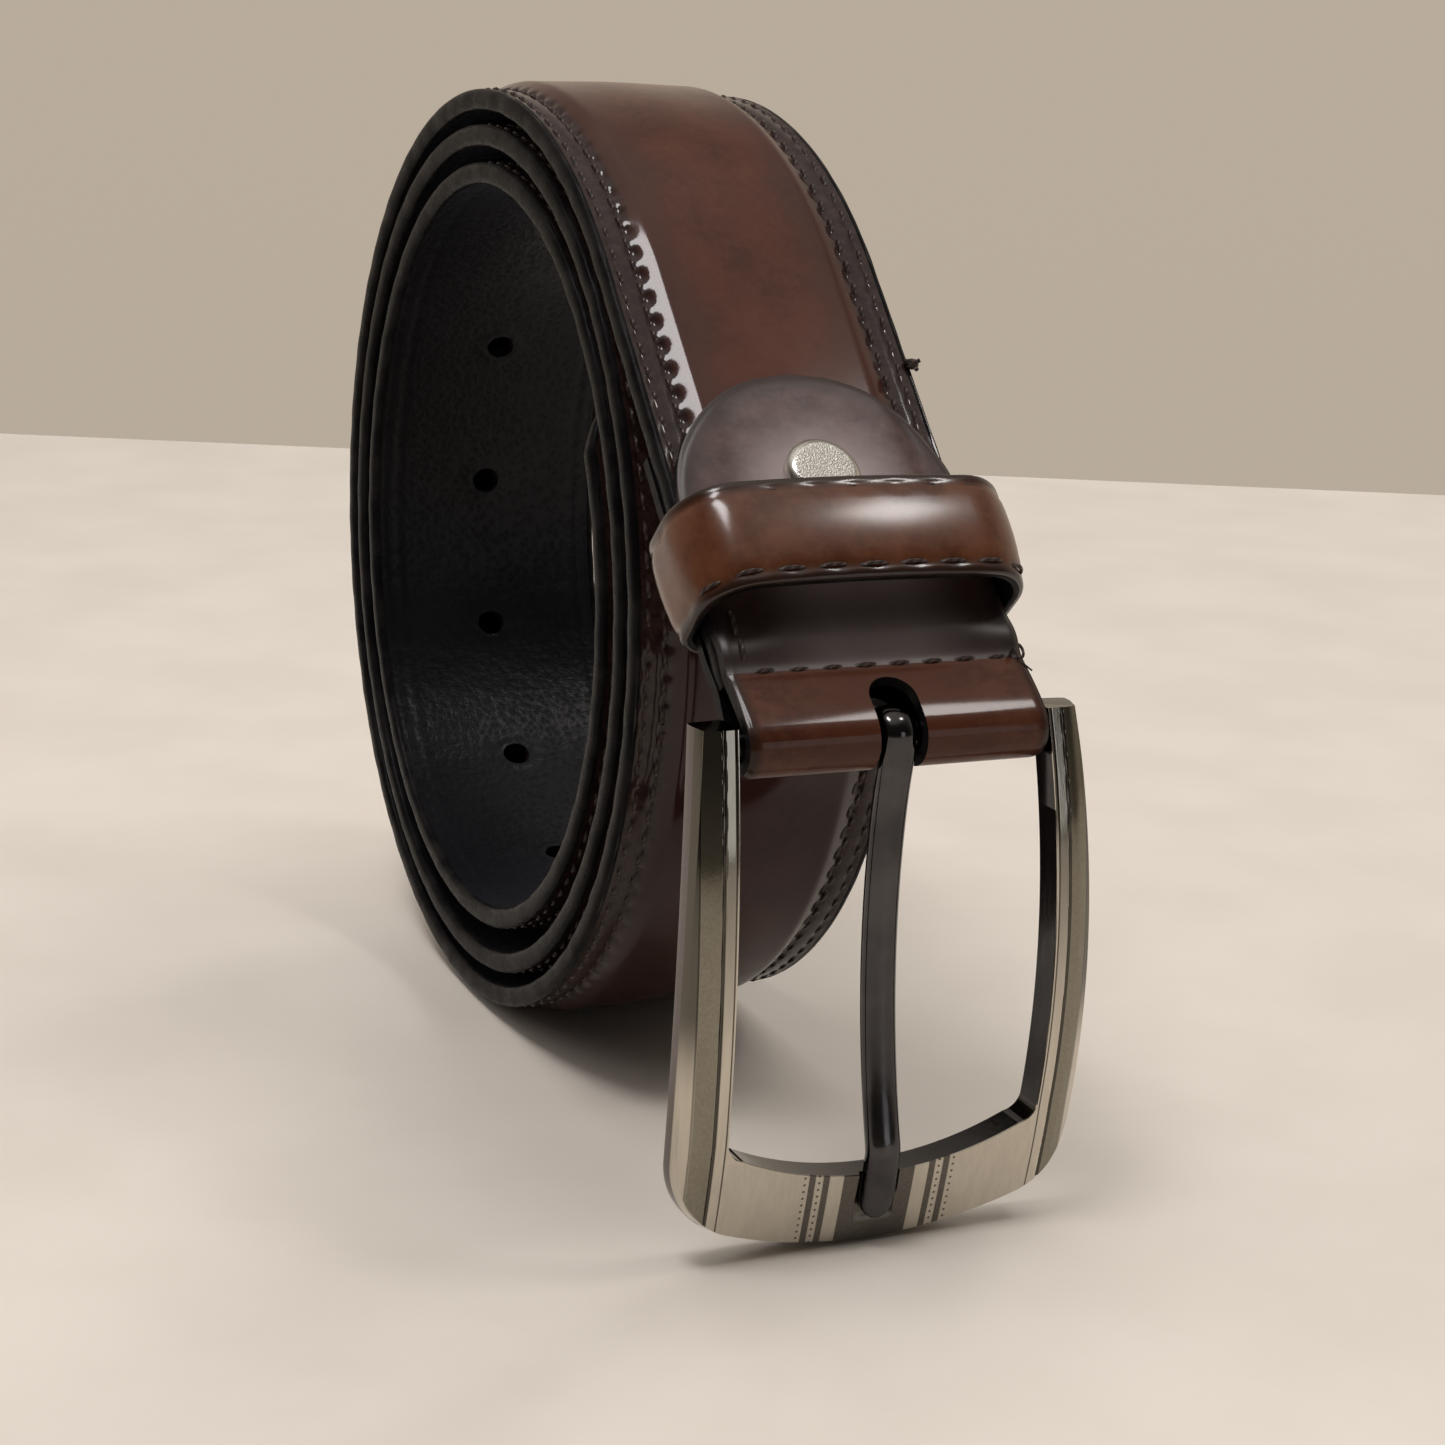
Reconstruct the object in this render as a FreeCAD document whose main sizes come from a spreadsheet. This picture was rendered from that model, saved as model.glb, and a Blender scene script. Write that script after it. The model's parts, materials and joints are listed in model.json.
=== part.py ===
import FreeCAD, Part
import math
import os
import re
import Sketcher

# A gentleman's dress belt, rolled up and standing on its rim.
#
# The strap is wound into a spiral of half turns whose centres alternate between two points,
# so that every half turn is a plain circular arc.  It leaves the coil at the front, runs
# straight and downwards to the buckle bar, and the buckle hangs from the bar to the floor.
# +X is across the strap, +Y points from the buckle to the coil, and +Z is up.
# The origin is on the floor, under the coil, in the middle of the strap's width.
#
# "Above the bar" is measured along the straight strap, and "out" is measured at right
# angles to it, from the middle of the strap's thickness.

SIZES = [
    ("strap_width", 35.0), ("strap_thick", 3.8), ("edge_drop", 1.2), ("edge_bevel", 0.45),
    ("panel_half", 11.0), ("panel_foot", 13.0), ("face_thick", 1.0), ("core_top", 2.3),
    ("core_thick", 0.6), ("coil_radius", 62.0), ("turn_pitch", 4.5), ("leave_angle", 44.4),
    ("floor_flat", 0.3), ("tip_angle", 179.5), ("tip_turn", 8.0), ("tip_point", 14.0),
    ("tip_arc", 19.0), ("straight_run", 63.0), ("strap_end", 7.2), ("hole_radius", 2.0),
    ("hole_first", 107.0), ("hole_step", 26.0),
    ("row_outer", 15.8), ("row_inner", 13.7), ("thread", 0.7), ("thread_rise", 0.3),
    ("chape_thick", 1.5), ("tab_start", 28.3), ("tab_radius", 17.3), ("chape_back", 38.0),
    ("slot_half", 2.8), ("slot_top", 6.4), ("stitch_up", 7.4), ("stitch_half", 15.6),
    ("stitch_leg", 8.0), ("rivet_up", 31.5), ("rivet_head", 4.4), ("rivet_rise", 1.3),
    ("rivet_bevel", 0.7), ("rivet_post", 1.6), ("rivet_bore", 0.9), ("rivet_back", 3.5),
    ("rivet_back_rise", 0.6), ("keeper_up", 20.7), ("keeper_wide", 12.5), ("keeper_half", 20.0),
    ("keeper_front", 9.6), ("keeper_rear", 5.9), ("keeper_face", 0.9), ("keeper_skin", 0.7),
    ("keeper_corner", 4.6), ("keeper_row", 5.1), ("staple_half", 5.0), ("staple_wire", 0.9),
    ("staple_rise", 0.45), ("bar_radius", 1.8), ("bar_half", 20.4), ("eye_gap", 0.05),
    ("frame_deep", 4.2), ("frame_bow", 110.0), ("frame_crown", 28.0), ("frame_front", 5.7),
    ("arm_top", 2.2), ("arm_top_half", 22.7), ("arm_low_half", 24.7), ("arm_low", 45.0),
    ("side_radius", 330.0), ("corner_half", 18.6), ("corner_low", 54.6), ("corner_radius", 10.8),
    ("window_top_half", 18.4), ("window_low_half", 18.9), ("window_low", 42.6),
    ("window_side", 560.0), ("inner_corner_half", 16.9), ("inner_corner_low", 45.0),
    ("inner_corner", 2.4), ("inner_bottom", 38.2), ("arm_chamfer", 0.7), ("notch_half", 2.3),
    ("notch_low", 55.0), ("notch_play", 0.1), ("prong_half", 2.0), ("prong_eye", 3.3),
    ("prong_thick", 2.2), ("prong_low", 54.4), ("prong_bend", 46.0), ("prong_rest", 3.2),
    ("prong_tip_rest", 2.1), ("prong_bow", 95.0),
]
HALF_TURNS = 5
HOLES = 5

doc = FreeCAD.newDocument("belt")
sheet = doc.addObject("Spreadsheet::Sheet", "Sizes")


def cell(alias, row, text):
    sheet.set(f"A{row}", alias)
    sheet.set(f"B{row}", text)
    sheet.setAlias(f"B{row}", alias)


for number, (alias, size) in enumerate(SIZES, start=1):
    cell(alias, number, str(size))

# Sizes that follow from the ones above.  The coil's two centres lie half a pitch apart, on
# the line from the coil towards the point where the strap leaves it.
FOLLOWING = [
    ("half_width", "=strap_width / 2"),
    ("half_thick", "=strap_thick / 2"),
    ("fold_out", "=strap_thick / 2 + chape_thick"),
    ("even_y", "=-cos(leave_angle) * turn_pitch / 2"),
    ("odd_z", "=coil_radius - turn_pitch / 2 - floor_flat"),
    ("even_z", "=odd_z + sin(leave_angle) * turn_pitch / 2"),
    ("bar_y", "=even_y - cos(leave_angle) * (coil_radius - half_thick) - sin(leave_angle) * straight_run"),
    ("bar_z", "=even_z + sin(leave_angle) * (coil_radius - half_thick) - cos(leave_angle) * straight_run"),
    ("bottom_sag", "=bar_z - corner_low"),
    ("bottom_radius", "=(corner_half ^ 2 + bottom_sag ^ 2) / (2 * bottom_sag)"),
]
for number, (alias, text) in enumerate(FOLLOWING, start=len(SIZES) + 1):
    cell(alias, number, text)
doc.recompute()


def size(expression):
    """The number that an expression of sheet sizes gives."""
    value = sheet.evalExpression(expression)
    return float(getattr(value, "Value", value))


def bound(expression):
    """The same expression as another object has to write it, with the sheet's name in front."""
    names = {alias for alias, _ in SIZES + FOLLOWING}
    return re.sub(r"[A-Za-z_]+", lambda w: f"Sizes.{w[0]}" if w[0] in names else w[0], expression)


def new_body(label):
    body = doc.addObject("PartDesign::Body", label)
    body.Label = label
    return body


def new_sketch(body, name, plane, base, angle):
    """A sketch on one of the body's origin planes, moved by base and turned about X."""
    sketch = body.newObject("Sketcher::SketchObject", name)
    support = next(f for f in body.Origin.OriginFeatures if f.Role == f"{plane}_Plane")
    sketch.AttachmentSupport = (support, "")
    sketch.MapMode = "FlatFace"
    axis = FreeCAD.Vector(0, 0, 1) if plane == "YZ" else FreeCAD.Vector(1, 0, 0)
    turn = FreeCAD.Rotation(axis, size(angle))
    sketch.AttachmentOffset = FreeCAD.Placement(FreeCAD.Vector(*map(size, base)), turn)
    for letter, expression in zip("xyz", base):
        sketch.setExpression(f"AttachmentOffset.Base.{letter}", bound(expression))
    sketch.setExpression("AttachmentOffset.Rotation.Angle", bound(angle))
    return sketch


def section_sketch(body, name, base_y, base_z, angle):
    """Local x is +X and local y lies in the YZ plane, turned up by angle from +Y."""
    return new_sketch(body, name, "XY", ("0", base_y, base_z), angle)


def strap_section(body, name, above):
    """Across the straight strap: local x is +X, local y is out, and it looks down the strap."""
    base_y = f"bar_y + sin(leave_angle) * ({above})"
    base_z = f"bar_z + cos(leave_angle) * ({above})"
    return section_sketch(body, name, base_y, base_z, "180 - leave_angle")


def strap_plan(body, name, out):
    """On the straight strap: local x is +X, local y is above the bar, and it looks out."""
    base_y = f"bar_y - cos(leave_angle) * ({out})"
    base_z = f"bar_z + sin(leave_angle) * ({out})"
    return section_sketch(body, name, base_y, base_z, "90 - leave_angle")


def strap_side(body, name, above="0"):
    """From the side: local x is above the bar, local y is out, and it looks along +X."""
    base_y = f"bar_y + sin(leave_angle) * ({above})"
    base_z = f"bar_z + cos(leave_angle) * ({above})"
    return new_sketch(body, name, "YZ", (base_y, base_z, "0"), "90 - leave_angle")


def arc_between(first, last, radius):
    """The shorter arc between two points, turning left on the way where radius is above zero."""
    middle = (first + last) * 0.5
    chord = last - first
    side = FreeCAD.Vector(-chord.y, chord.x, 0).normalize()
    reach = math.sqrt(radius * radius - chord.Length ** 2 / 4)
    centre = middle + side * math.copysign(reach, radius)
    top = centre - side * radius
    return Part.Arc(first, top, last) if radius > 0 else Part.Arc(last, top, first)


def outline(sketch, corners):
    """A closed outline.  Each corner is (x, y) or (x, y, radius of the arc to the next)."""
    points = [FreeCAD.Vector(size(c[0]), size(c[1]), 0) for c in corners]
    start = sketch.GeometryCount
    count = len(corners)
    flips = []
    for i, corner in enumerate(corners):
        ahead = points[(i + 1) % count]
        radius = size(corner[2]) if len(corner) > 2 else 0
        flips.append(radius < 0)
        if radius:
            sketch.addGeometry(arc_between(points[i], ahead, radius))
        else:
            sketch.addGeometry(Part.LineSegment(points[i], ahead))
    for i, corner in enumerate(corners):
        here = start + i
        after = start + (i + 1) % count
        begin = 2 if flips[i] else 1
        end = 1 if flips[i] else 2
        begin_after = 2 if flips[(i + 1) % count] else 1
        sketch.addConstraint(Sketcher.Constraint("Coincident", here, end, after, begin_after))
        for kind, text in (("DistanceX", corner[0]), ("DistanceY", corner[1])):
            row = sketch.addConstraint(Sketcher.Constraint(kind, -1, 1, here, begin, size(text)))
            sketch.setExpression(f"Constraints[{row}]", bound(text))
        if len(corner) > 2:
            text = f"abs({corner[2]})"
            row = sketch.addConstraint(Sketcher.Constraint("Radius", here, size(text)))
            sketch.setExpression(f"Constraints[{row}]", bound(text))


def circle(sketch, x, y, radius):
    centre = FreeCAD.Vector(size(x), size(y), 0)
    round_edge = Part.Circle(centre, FreeCAD.Vector(0, 0, 1), size(radius))
    here = sketch.addGeometry(round_edge)
    for kind, text in (("DistanceX", x), ("DistanceY", y)):
        row = sketch.addConstraint(Sketcher.Constraint(kind, -1, 1, here, 3, size(text)))
        sketch.setExpression(f"Constraints[{row}]", bound(text))
    row = sketch.addConstraint(Sketcher.Constraint("Radius", here, size(radius)))
    sketch.setExpression(f"Constraints[{row}]", bound(radius))


def box_outline(sketch, x, low, high):
    outline(sketch, [(f"-({x})", low), (x, low), (x, high), (f"-({x})", high)])


def pad(body, sketch, length, both_ways=False):
    feature = body.newObject("PartDesign::Pad", f"{sketch.Name}_pad")
    feature.Profile = sketch
    feature.SideType = "Symmetric" if both_ways else "One side"
    feature.setExpression("Length", bound(length))
    sketch.Visibility = False
    return feature


def pocket(body, sketch, length, both_ways=False, towards_normal=False):
    """Cut the sketch out, and make sure that the cut takes material away."""
    doc.recompute()
    before = body.Shape.Volume
    feature = body.newObject("PartDesign::Pocket", f"{sketch.Name}_pocket")
    feature.Profile = sketch
    feature.SideType = "Symmetric" if both_ways else "One side"
    feature.Reversed = towards_normal
    feature.setExpression("Length", bound(length))
    doc.recompute()
    if not body.Shape.Volume < before - 1e-3:
        raise RuntimeError(f"{feature.Name} cuts nothing")
    return feature


def revolve(body, sketch, axis, angle, backwards=False):
    feature = body.newObject("PartDesign::Revolution", f"{sketch.Name}_turn")
    feature.Profile = sketch
    feature.ReferenceAxis = (sketch, [axis])
    feature.Reversed = backwards
    feature.setExpression("Angle", bound(angle))
    return feature


def coil_place(turn):
    """The centre of a half turn, and its crown radius."""
    name = "even" if turn % 2 == 0 else "odd"
    centre_y = "even_y" if name == "even" else "0"
    return centre_y, f"{name}_z", f"coil_radius - {turn} * turn_pitch / 2"


def strap_layer(label, section, past_tip="0"):
    """A layer of the strap, from its section as (x, depth under the crown) corners."""
    body = new_body(label)
    for turn in range(HALF_TURNS + 1):
        centre_y, centre_z, crown = coil_place(turn)
        start = f"180 - leave_angle - {180 * turn}"
        sketch = section_sketch(body, f"{label}_turn_{turn}", centre_y, centre_z, start)
        outline(sketch, [(x, f"{crown} - ({depth})") for x, depth in section])
        angle = "180" if turn < HALF_TURNS else f"tip_angle + {past_tip}"
        revolve(body, sketch, "H_Axis", angle, backwards=True)
    run = section_sketch(body, f"{label}_run", "even_y", "even_z", "180 - leave_angle")
    outline(run, [(x, f"coil_radius - ({depth})") for x, depth in section])
    pad(body, run, "straight_run - strap_end")
    doc.recompute()
    return body


def coil_window(body, name, turn, past, inner):
    """A sketch facing out from the coil, past degrees along a half turn, at the inner radius."""
    centre_y, centre_z, crown = coil_place(turn)
    angle = f"180 - leave_angle - {180 * turn} - ({past})"
    base_y = f"{centre_y} + cos({angle}) * ({inner})"
    base_z = f"{centre_z} + sin({angle}) * ({inner})"
    return section_sketch(body, name, base_y, base_z, f"{angle} - 90")


def punch_holes(body):
    """The prong holes, with the rivet's hole where the strap is inside the chape."""
    for number in range(HOLES):
        past = f"hole_first + {number} * hole_step"
        turn = HALF_TURNS - 1
        if size(past) > 180:
            turn = HALF_TURNS
            past = f"{past} - 180"
        inner = f"{coil_place(turn)[2]} - strap_thick - 0.1"
        sketch = coil_window(body, f"{body.Label}_hole_{number + 1}", turn, past, inner)
        circle(sketch, "0", "0", "hole_radius")
        pocket(body, sketch, "strap_thick + 0.2", towards_normal=True)
    sketch = strap_plan(body, f"{body.Label}_rivet_hole", "0")
    circle(sketch, "0", "rivet_up", "rivet_post")
    pocket(body, sketch, "strap_thick + 1", both_ways=True)


def round_tip(body):
    """Cut the strap's free end to a blunt point, with an arc from each side."""
    inner = f"{coil_place(HALF_TURNS)[2]} - strap_thick - 0.7"
    sketch = coil_window(body, f"{body.Label}_tip", HALF_TURNS, "tip_angle - tip_turn", inner)
    shoulder = "-tip_point / 2"
    beyond = "tip_point / 2 + 3"
    outline(sketch, [
        ("half_width + 1", shoulder), ("half_width + 1", beyond), ("-half_width - 1", beyond),
        ("-half_width - 1", shoulder), ("-half_width", shoulder, "-tip_arc"),
        ("0", "tip_point / 2", "-tip_arc"), ("half_width", shoulder),
    ])
    pocket(body, sketch, "strap_thick + 0.4", towards_normal=True)


# ---- strap: face leather over a padded panel, a stiff core and a lining ----

def make_strap():
    edge = "half_width"
    shoulder = "half_width - edge_bevel"
    foot_in = "panel_foot - 0.6"
    panel_in = "panel_half - 0.4"
    right = [
        (edge, "core_top"), (edge, "edge_drop + edge_bevel"), (shoulder, "edge_drop"),
        ("panel_foot", "edge_drop"), ("panel_half", "0"),
    ]
    left = [(f"-({x})", depth) for x, depth in reversed(right)]
    inside = [
        (f"-({foot_in})", "core_top"), (f"-({panel_in})", "face_thick"),
        (panel_in, "face_thick"), (foot_in, "core_top"),
    ]
    face = strap_layer("strap_face", right + left + inside)
    padding = strap_layer("strap_padding", inside)
    core_low = "core_top + core_thick"
    core = strap_layer("strap_core", slab("core_top", core_low))
    lining = strap_layer("strap_lining", slab(core_low, "strap_thick"))
    for body in (face, padding, core, lining):
        punch_holes(body)
        round_tip(body)
    flatten_on_floor(face)


def slab(upper, lower):
    """A section as wide as the strap, between two depths under the crown."""
    return [("-half_width", lower), ("half_width", lower), ("half_width", upper), ("-half_width", upper)]


def flatten_on_floor(body):
    """The coil's own weight presses a small flat under it, at the height of the floor."""
    sketch = section_sketch(body, "floor_flat_cut", "0", "0", "0")
    outline(sketch, [
        ("-strap_width", "-15"), ("strap_width", "-15"), ("strap_width", "15"), ("-strap_width", "15"),
    ])
    pocket(body, sketch, "3")


def make_strap_rows():
    """Two rows of thread near each edge, lying on the flat border beside the panel."""
    rows = [
        ("stitch_left_outer", "-row_outer"), ("stitch_left_inner", "-row_inner"),
        ("stitch_right_inner", "row_inner"), ("stitch_right_outer", "row_outer"),
    ]
    for label, x in rows:
        upper = "edge_drop - thread_rise"
        section = [
            (f"{x} - thread / 2", "edge_drop"), (f"{x} + thread / 2", "edge_drop"),
            (f"{x} + thread / 2", upper), (f"{x} - thread / 2", upper),
        ]
        strap_layer(label, section, past_tip="-18")


# ---- chape: one strip of leather folded round the buckle bar ----

def make_chape():
    body = new_body("chape")
    fold = strap_side(body, "chape_fold")
    outline(fold, [
        ("tab_start", "half_thick"), ("tab_start", "fold_out"), ("0", "fold_out", "fold_out"),
        ("0 - fold_out", "0", "fold_out"), ("0", "-fold_out"), ("chape_back", "-fold_out"),
        ("chape_back", "-half_thick"), ("0", "-half_thick", "-(half_thick)"),
        ("0 - half_thick", "0", "-(half_thick)"), ("0", "half_thick"),
    ])
    pad(body, fold, "strap_width", both_ways=True)
    tab = strap_plan(body, "chape_tab", "half_thick")
    outline(tab, [
        ("-tab_radius", "tab_start"), ("tab_radius", "tab_start", "tab_radius"),
        ("0", "tab_start + tab_radius", "tab_radius"),
    ])
    pad(body, tab, "chape_thick")
    slot = strap_plan(body, "chape_slot", "0")
    outline(slot, [
        ("-slot_half", "0 - fold_out - 1"), ("slot_half", "0 - fold_out - 1"),
        ("slot_half", "slot_top - slot_half", "slot_half"),
        ("0", "slot_top", "slot_half"), ("-slot_half", "slot_top - slot_half"),
    ])
    pocket(body, slot, "fold_out * 2 + 2", both_ways=True)
    rivet = strap_plan(body, "chape_rivet_hole", "0")
    circle(rivet, "0", "rivet_up", "rivet_post")
    pocket(body, rivet, "fold_out * 2 + 2", both_ways=True)


def make_chape_stitch():
    """The row that closes the fold, with its short leg up the left edge."""
    body = new_body("chape_stitch")
    sketch = strap_plan(body, "chape_stitch_run", "fold_out")
    inner = "thread - stitch_half"
    outline(sketch, [
        ("-stitch_half", "stitch_up"), ("stitch_half", "stitch_up"),
        ("stitch_half", "stitch_up + thread"), (inner, "stitch_up + thread"),
        (inner, "stitch_up + stitch_leg"), ("-stitch_half", "stitch_up + stitch_leg"),
    ])
    pad(body, sketch, "thread_rise")


# ---- rivet: a head with a hollow post, closed by a back with a stud ----

def make_rivet():
    head = new_body("rivet_head")
    profile = strap_side(head, "rivet_head_profile", "rivet_up")
    top = "fold_out + rivet_rise"
    outline(profile, [
        ("rivet_bore", "-fold_out"), ("rivet_post", "-fold_out"), ("rivet_post", "fold_out"),
        ("rivet_head", "fold_out"), ("rivet_head", f"{top} - rivet_bevel"),
        ("rivet_head - rivet_bevel", top), ("0", top), ("0", "fold_out"), ("rivet_bore", "fold_out"),
    ])
    revolve(head, profile, "V_Axis", "360")
    back = new_body("rivet_back")
    profile = strap_side(back, "rivet_back_profile", "rivet_up")
    stud = "rivet_bore - eye_gap"
    low = "0 - fold_out - rivet_back_rise"
    outline(profile, [
        ("0", low), ("rivet_back", low), ("rivet_back", "-fold_out"), (stud, "-fold_out"),
        (stud, "fold_out - 0.5"), ("0", "fold_out - 0.5"),
    ])
    revolve(back, profile, "V_Axis", "360")


# ---- keeper: a stitched loop that slides along the strap ----

def loop_outline(sketch, inset):
    half = f"keeper_half - ({inset})"
    front = f"keeper_front - ({inset})"
    rear = f"{inset} - keeper_rear"
    corner = f"keeper_corner - ({inset})"
    outline(sketch, [
        (f"{corner} - ({half})", rear), (f"{half} - ({corner})", rear, corner),
        (half, f"{rear} + {corner}"), (half, f"{front} - ({corner})", corner),
        (f"{half} - ({corner})", front), (f"{corner} - ({half})", front, corner),
        (f"-({half})", f"{front} - ({corner})"), (f"-({half})", f"{rear} + {corner}", corner),
    ])


def make_keeper():
    both = "keeper_face + keeper_skin"
    for label, outer, inner in (("keeper_face", "0", "keeper_face"), ("keeper_lining", "keeper_face", both)):
        body = new_body(label)
        sketch = strap_section(body, f"{label}_ring", "keeper_up")
        loop_outline(sketch, outer)
        loop_outline(sketch, inner)
        pad(body, sketch, "keeper_wide", both_ways=True)
    for label, side in (("keeper_stitch_upper", "+"), ("keeper_stitch_lower", "-")):
        body = new_body(label)
        sketch = strap_plan(body, f"{label}_run", "keeper_front")
        middle = f"keeper_up {side} keeper_row"
        box_outline(sketch, "keeper_half - keeper_corner", f"{middle} - thread / 2", f"{middle} + thread / 2")
        pad(body, sketch, "thread_rise")
    staple = new_body("keeper_staple")
    crown = strap_plan(staple, "staple_crown", "-(keeper_rear + staple_rise)")
    box_outline(crown, "staple_half", "keeper_up - staple_wire / 2", "keeper_up + staple_wire / 2")
    pad(staple, crown, "staple_rise")


# ---- buckle: a bowed frame, its bar and the prong ----

def buckle_front(body, name, out):
    """Facing the front of the hanging buckle: local x is +X, and local y is above the bar."""
    return new_sketch(body, name, "XY", ("0", f"bar_y - ({out})", "bar_z"), "90")


def buckle_side(body, name):
    """From the side of the hanging buckle: local x is +Y and local y is above the bar."""
    return new_sketch(body, name, "YZ", ("bar_y", "bar_z", "0"), "0")


def chamfer_edges(body, amount, wanted):
    """Chamfer the edges that wanted() picks from the body as it stands."""
    doc.recompute()
    base = body.Tip
    names = [f"Edge{i}" for i, edge in enumerate(base.Shape.Edges, start=1) if wanted(edge)]
    feature = body.newObject("PartDesign::Chamfer", f"{body.Label}_chamfer")
    feature.Base = (base, names)
    feature.setExpression("Size", bound(amount))
    doc.recompute()


def bow_at(above, behind="0"):
    """How far behind the bar the frame's bowed face lies, or a face that is behind it."""
    reach = f"sqrt((frame_bow - {behind}) ^ 2 - ({above} + frame_crown) ^ 2)"
    return f"frame_bow - frame_front - {reach}"


def make_buckle_frame():
    body = new_body("buckle_frame")
    slab_side = buckle_side(body, "frame_slab")
    above, below = "arm_top + 1", "-bar_z - 1"
    outline(slab_side, [
        (bow_at(above), above, "frame_bow"), (bow_at(below), below),
        (bow_at(below, "frame_deep"), below, "frame_deep - frame_bow"),
        (bow_at(above, "frame_deep"), above),
    ])
    pad(body, slab_side, "arm_low_half * 2 + 4", both_ways=True)
    around = buckle_front(body, "frame_outline", "0")
    box_outline(around, "arm_low_half + 3", "-bar_z - 3", "arm_top + 3")
    outline(around, [
        ("-arm_top_half", "arm_top", "side_radius"), ("-arm_low_half", "-arm_low", "corner_radius"),
        ("-corner_half", "-corner_low", "bottom_radius"), ("0", "-bar_z", "bottom_radius"),
        ("corner_half", "-corner_low", "corner_radius"), ("arm_low_half", "-arm_low", "side_radius"),
        ("arm_top_half", "arm_top"), ("window_top_half", "arm_top", "-window_side"),
        ("window_low_half", "-window_low", "-inner_corner"),
        ("inner_corner_half", "-inner_corner_low", "-inner_bottom"),
        ("-inner_corner_half", "-inner_corner_low", "-inner_corner"),
        ("-window_low_half", "-window_low", "-window_side"), ("-window_top_half", "arm_top"),
    ])
    pocket(body, around, "frame_front * 4", both_ways=True)
    axis_y = size("bar_y + frame_bow - frame_front")
    axis_z = size("bar_z - frame_crown")
    top = size("bar_z + arm_top")

    def on_front(edge):
        spots = [edge.valueAt(edge.getParameterByLength(edge.Length * share)) for share in (0.1, 0.5, 0.9)]
        reach = min(math.hypot(spot.y - axis_y, spot.z - axis_z) for spot in spots)
        return reach > size("frame_bow") - 1e-3 and min(spot.z for spot in spots) < top - 1e-3

    chamfer_edges(body, "arm_chamfer", on_front)
    seats = buckle_side(body, "bar_seats")
    circle(seats, "0", "0", "bar_radius")
    pocket(body, seats, "bar_half * 2", both_ways=True)
    notch = buckle_side(body, "prong_notch")
    outline(notch, [
        ("-frame_front - 1", "-notch_low"), ("notch_play - prong_tip_rest", "-notch_low"),
        ("notch_play - prong_rest", "-prong_bend"), ("-frame_front - 1", "-prong_bend"),
    ])
    pocket(body, notch, "notch_half * 2", both_ways=True)


def make_buckle_bar():
    body = new_body("buckle_bar")
    sketch = buckle_side(body, "bar_section")
    circle(sketch, "0", "0", "bar_radius")
    pad(body, sketch, "bar_half * 2", both_ways=True)


def make_prong():
    body = new_body("prong")
    shank = buckle_side(body, "prong_shank")
    tip_front = "-prong_tip_rest - prong_thick"
    outline(shank, [
        ("-prong_eye", "0", "-prong_bow"), ("-prong_rest - prong_thick", "-prong_bend"),
        (tip_front, "prong_thick / 2 - prong_low", "prong_thick / 2"),
        (f"{tip_front} + prong_thick / 2", "-prong_low"), ("-prong_tip_rest", "-prong_low"),
        ("-prong_rest", "-prong_bend", "prong_bow"), ("prong_thick - prong_eye", "0"),
    ])
    pad(body, shank, "prong_half * 2", both_ways=True)
    eye = buckle_side(body, "prong_eye_ring")
    circle(eye, "0", "0", "prong_eye")
    pad(body, eye, "prong_half * 2", both_ways=True)
    tip = buckle_front(body, "prong_tip", "0")
    ends = "prong_half - prong_low"
    outline(tip, [
        ("-prong_half - 1", "-prong_low - 1"), ("prong_half + 1", "-prong_low - 1"),
        ("prong_half + 1", ends), ("prong_half", ends, "-prong_half"),
        ("0", "-prong_low", "-prong_half"), ("-prong_half", ends), ("-prong_half - 1", ends),
    ])
    pocket(body, tip, "frame_front * 4", both_ways=True)
    bore = buckle_side(body, "prong_bore")
    circle(bore, "0", "0", "bar_radius + eye_gap")
    pocket(body, bore, "prong_half * 2 + 1", both_ways=True)


make_strap()
make_strap_rows()
make_chape()
make_chape_stitch()
make_rivet()
make_keeper()
make_buckle_frame()
make_buckle_bar()
make_prong()
doc.recompute()

bodies = [item for item in doc.Objects if item.TypeId == "PartDesign::Body"]
for item in doc.Objects:
    if "Invalid" in item.State or "Error" in item.State:
        raise RuntimeError(f"{item.Label} failed: {item.State}")
for body in bodies:
    if body.Shape.isNull() or not body.Shape.isValid() or len(body.Shape.Solids) != 1:
        raise RuntimeError(f"{body.Label} is not one valid solid")
os.makedirs("parts", exist_ok=True)
for body in bodies:
    body.Shape.exportStep(f"parts/{body.Label}.step")
    print(f"{body.Label}: {body.Shape.Volume:.1f} cubic mm")
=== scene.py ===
import json
import math

import bmesh
import bpy
import numpy as np
from mathutils import Matrix, Vector


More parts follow.
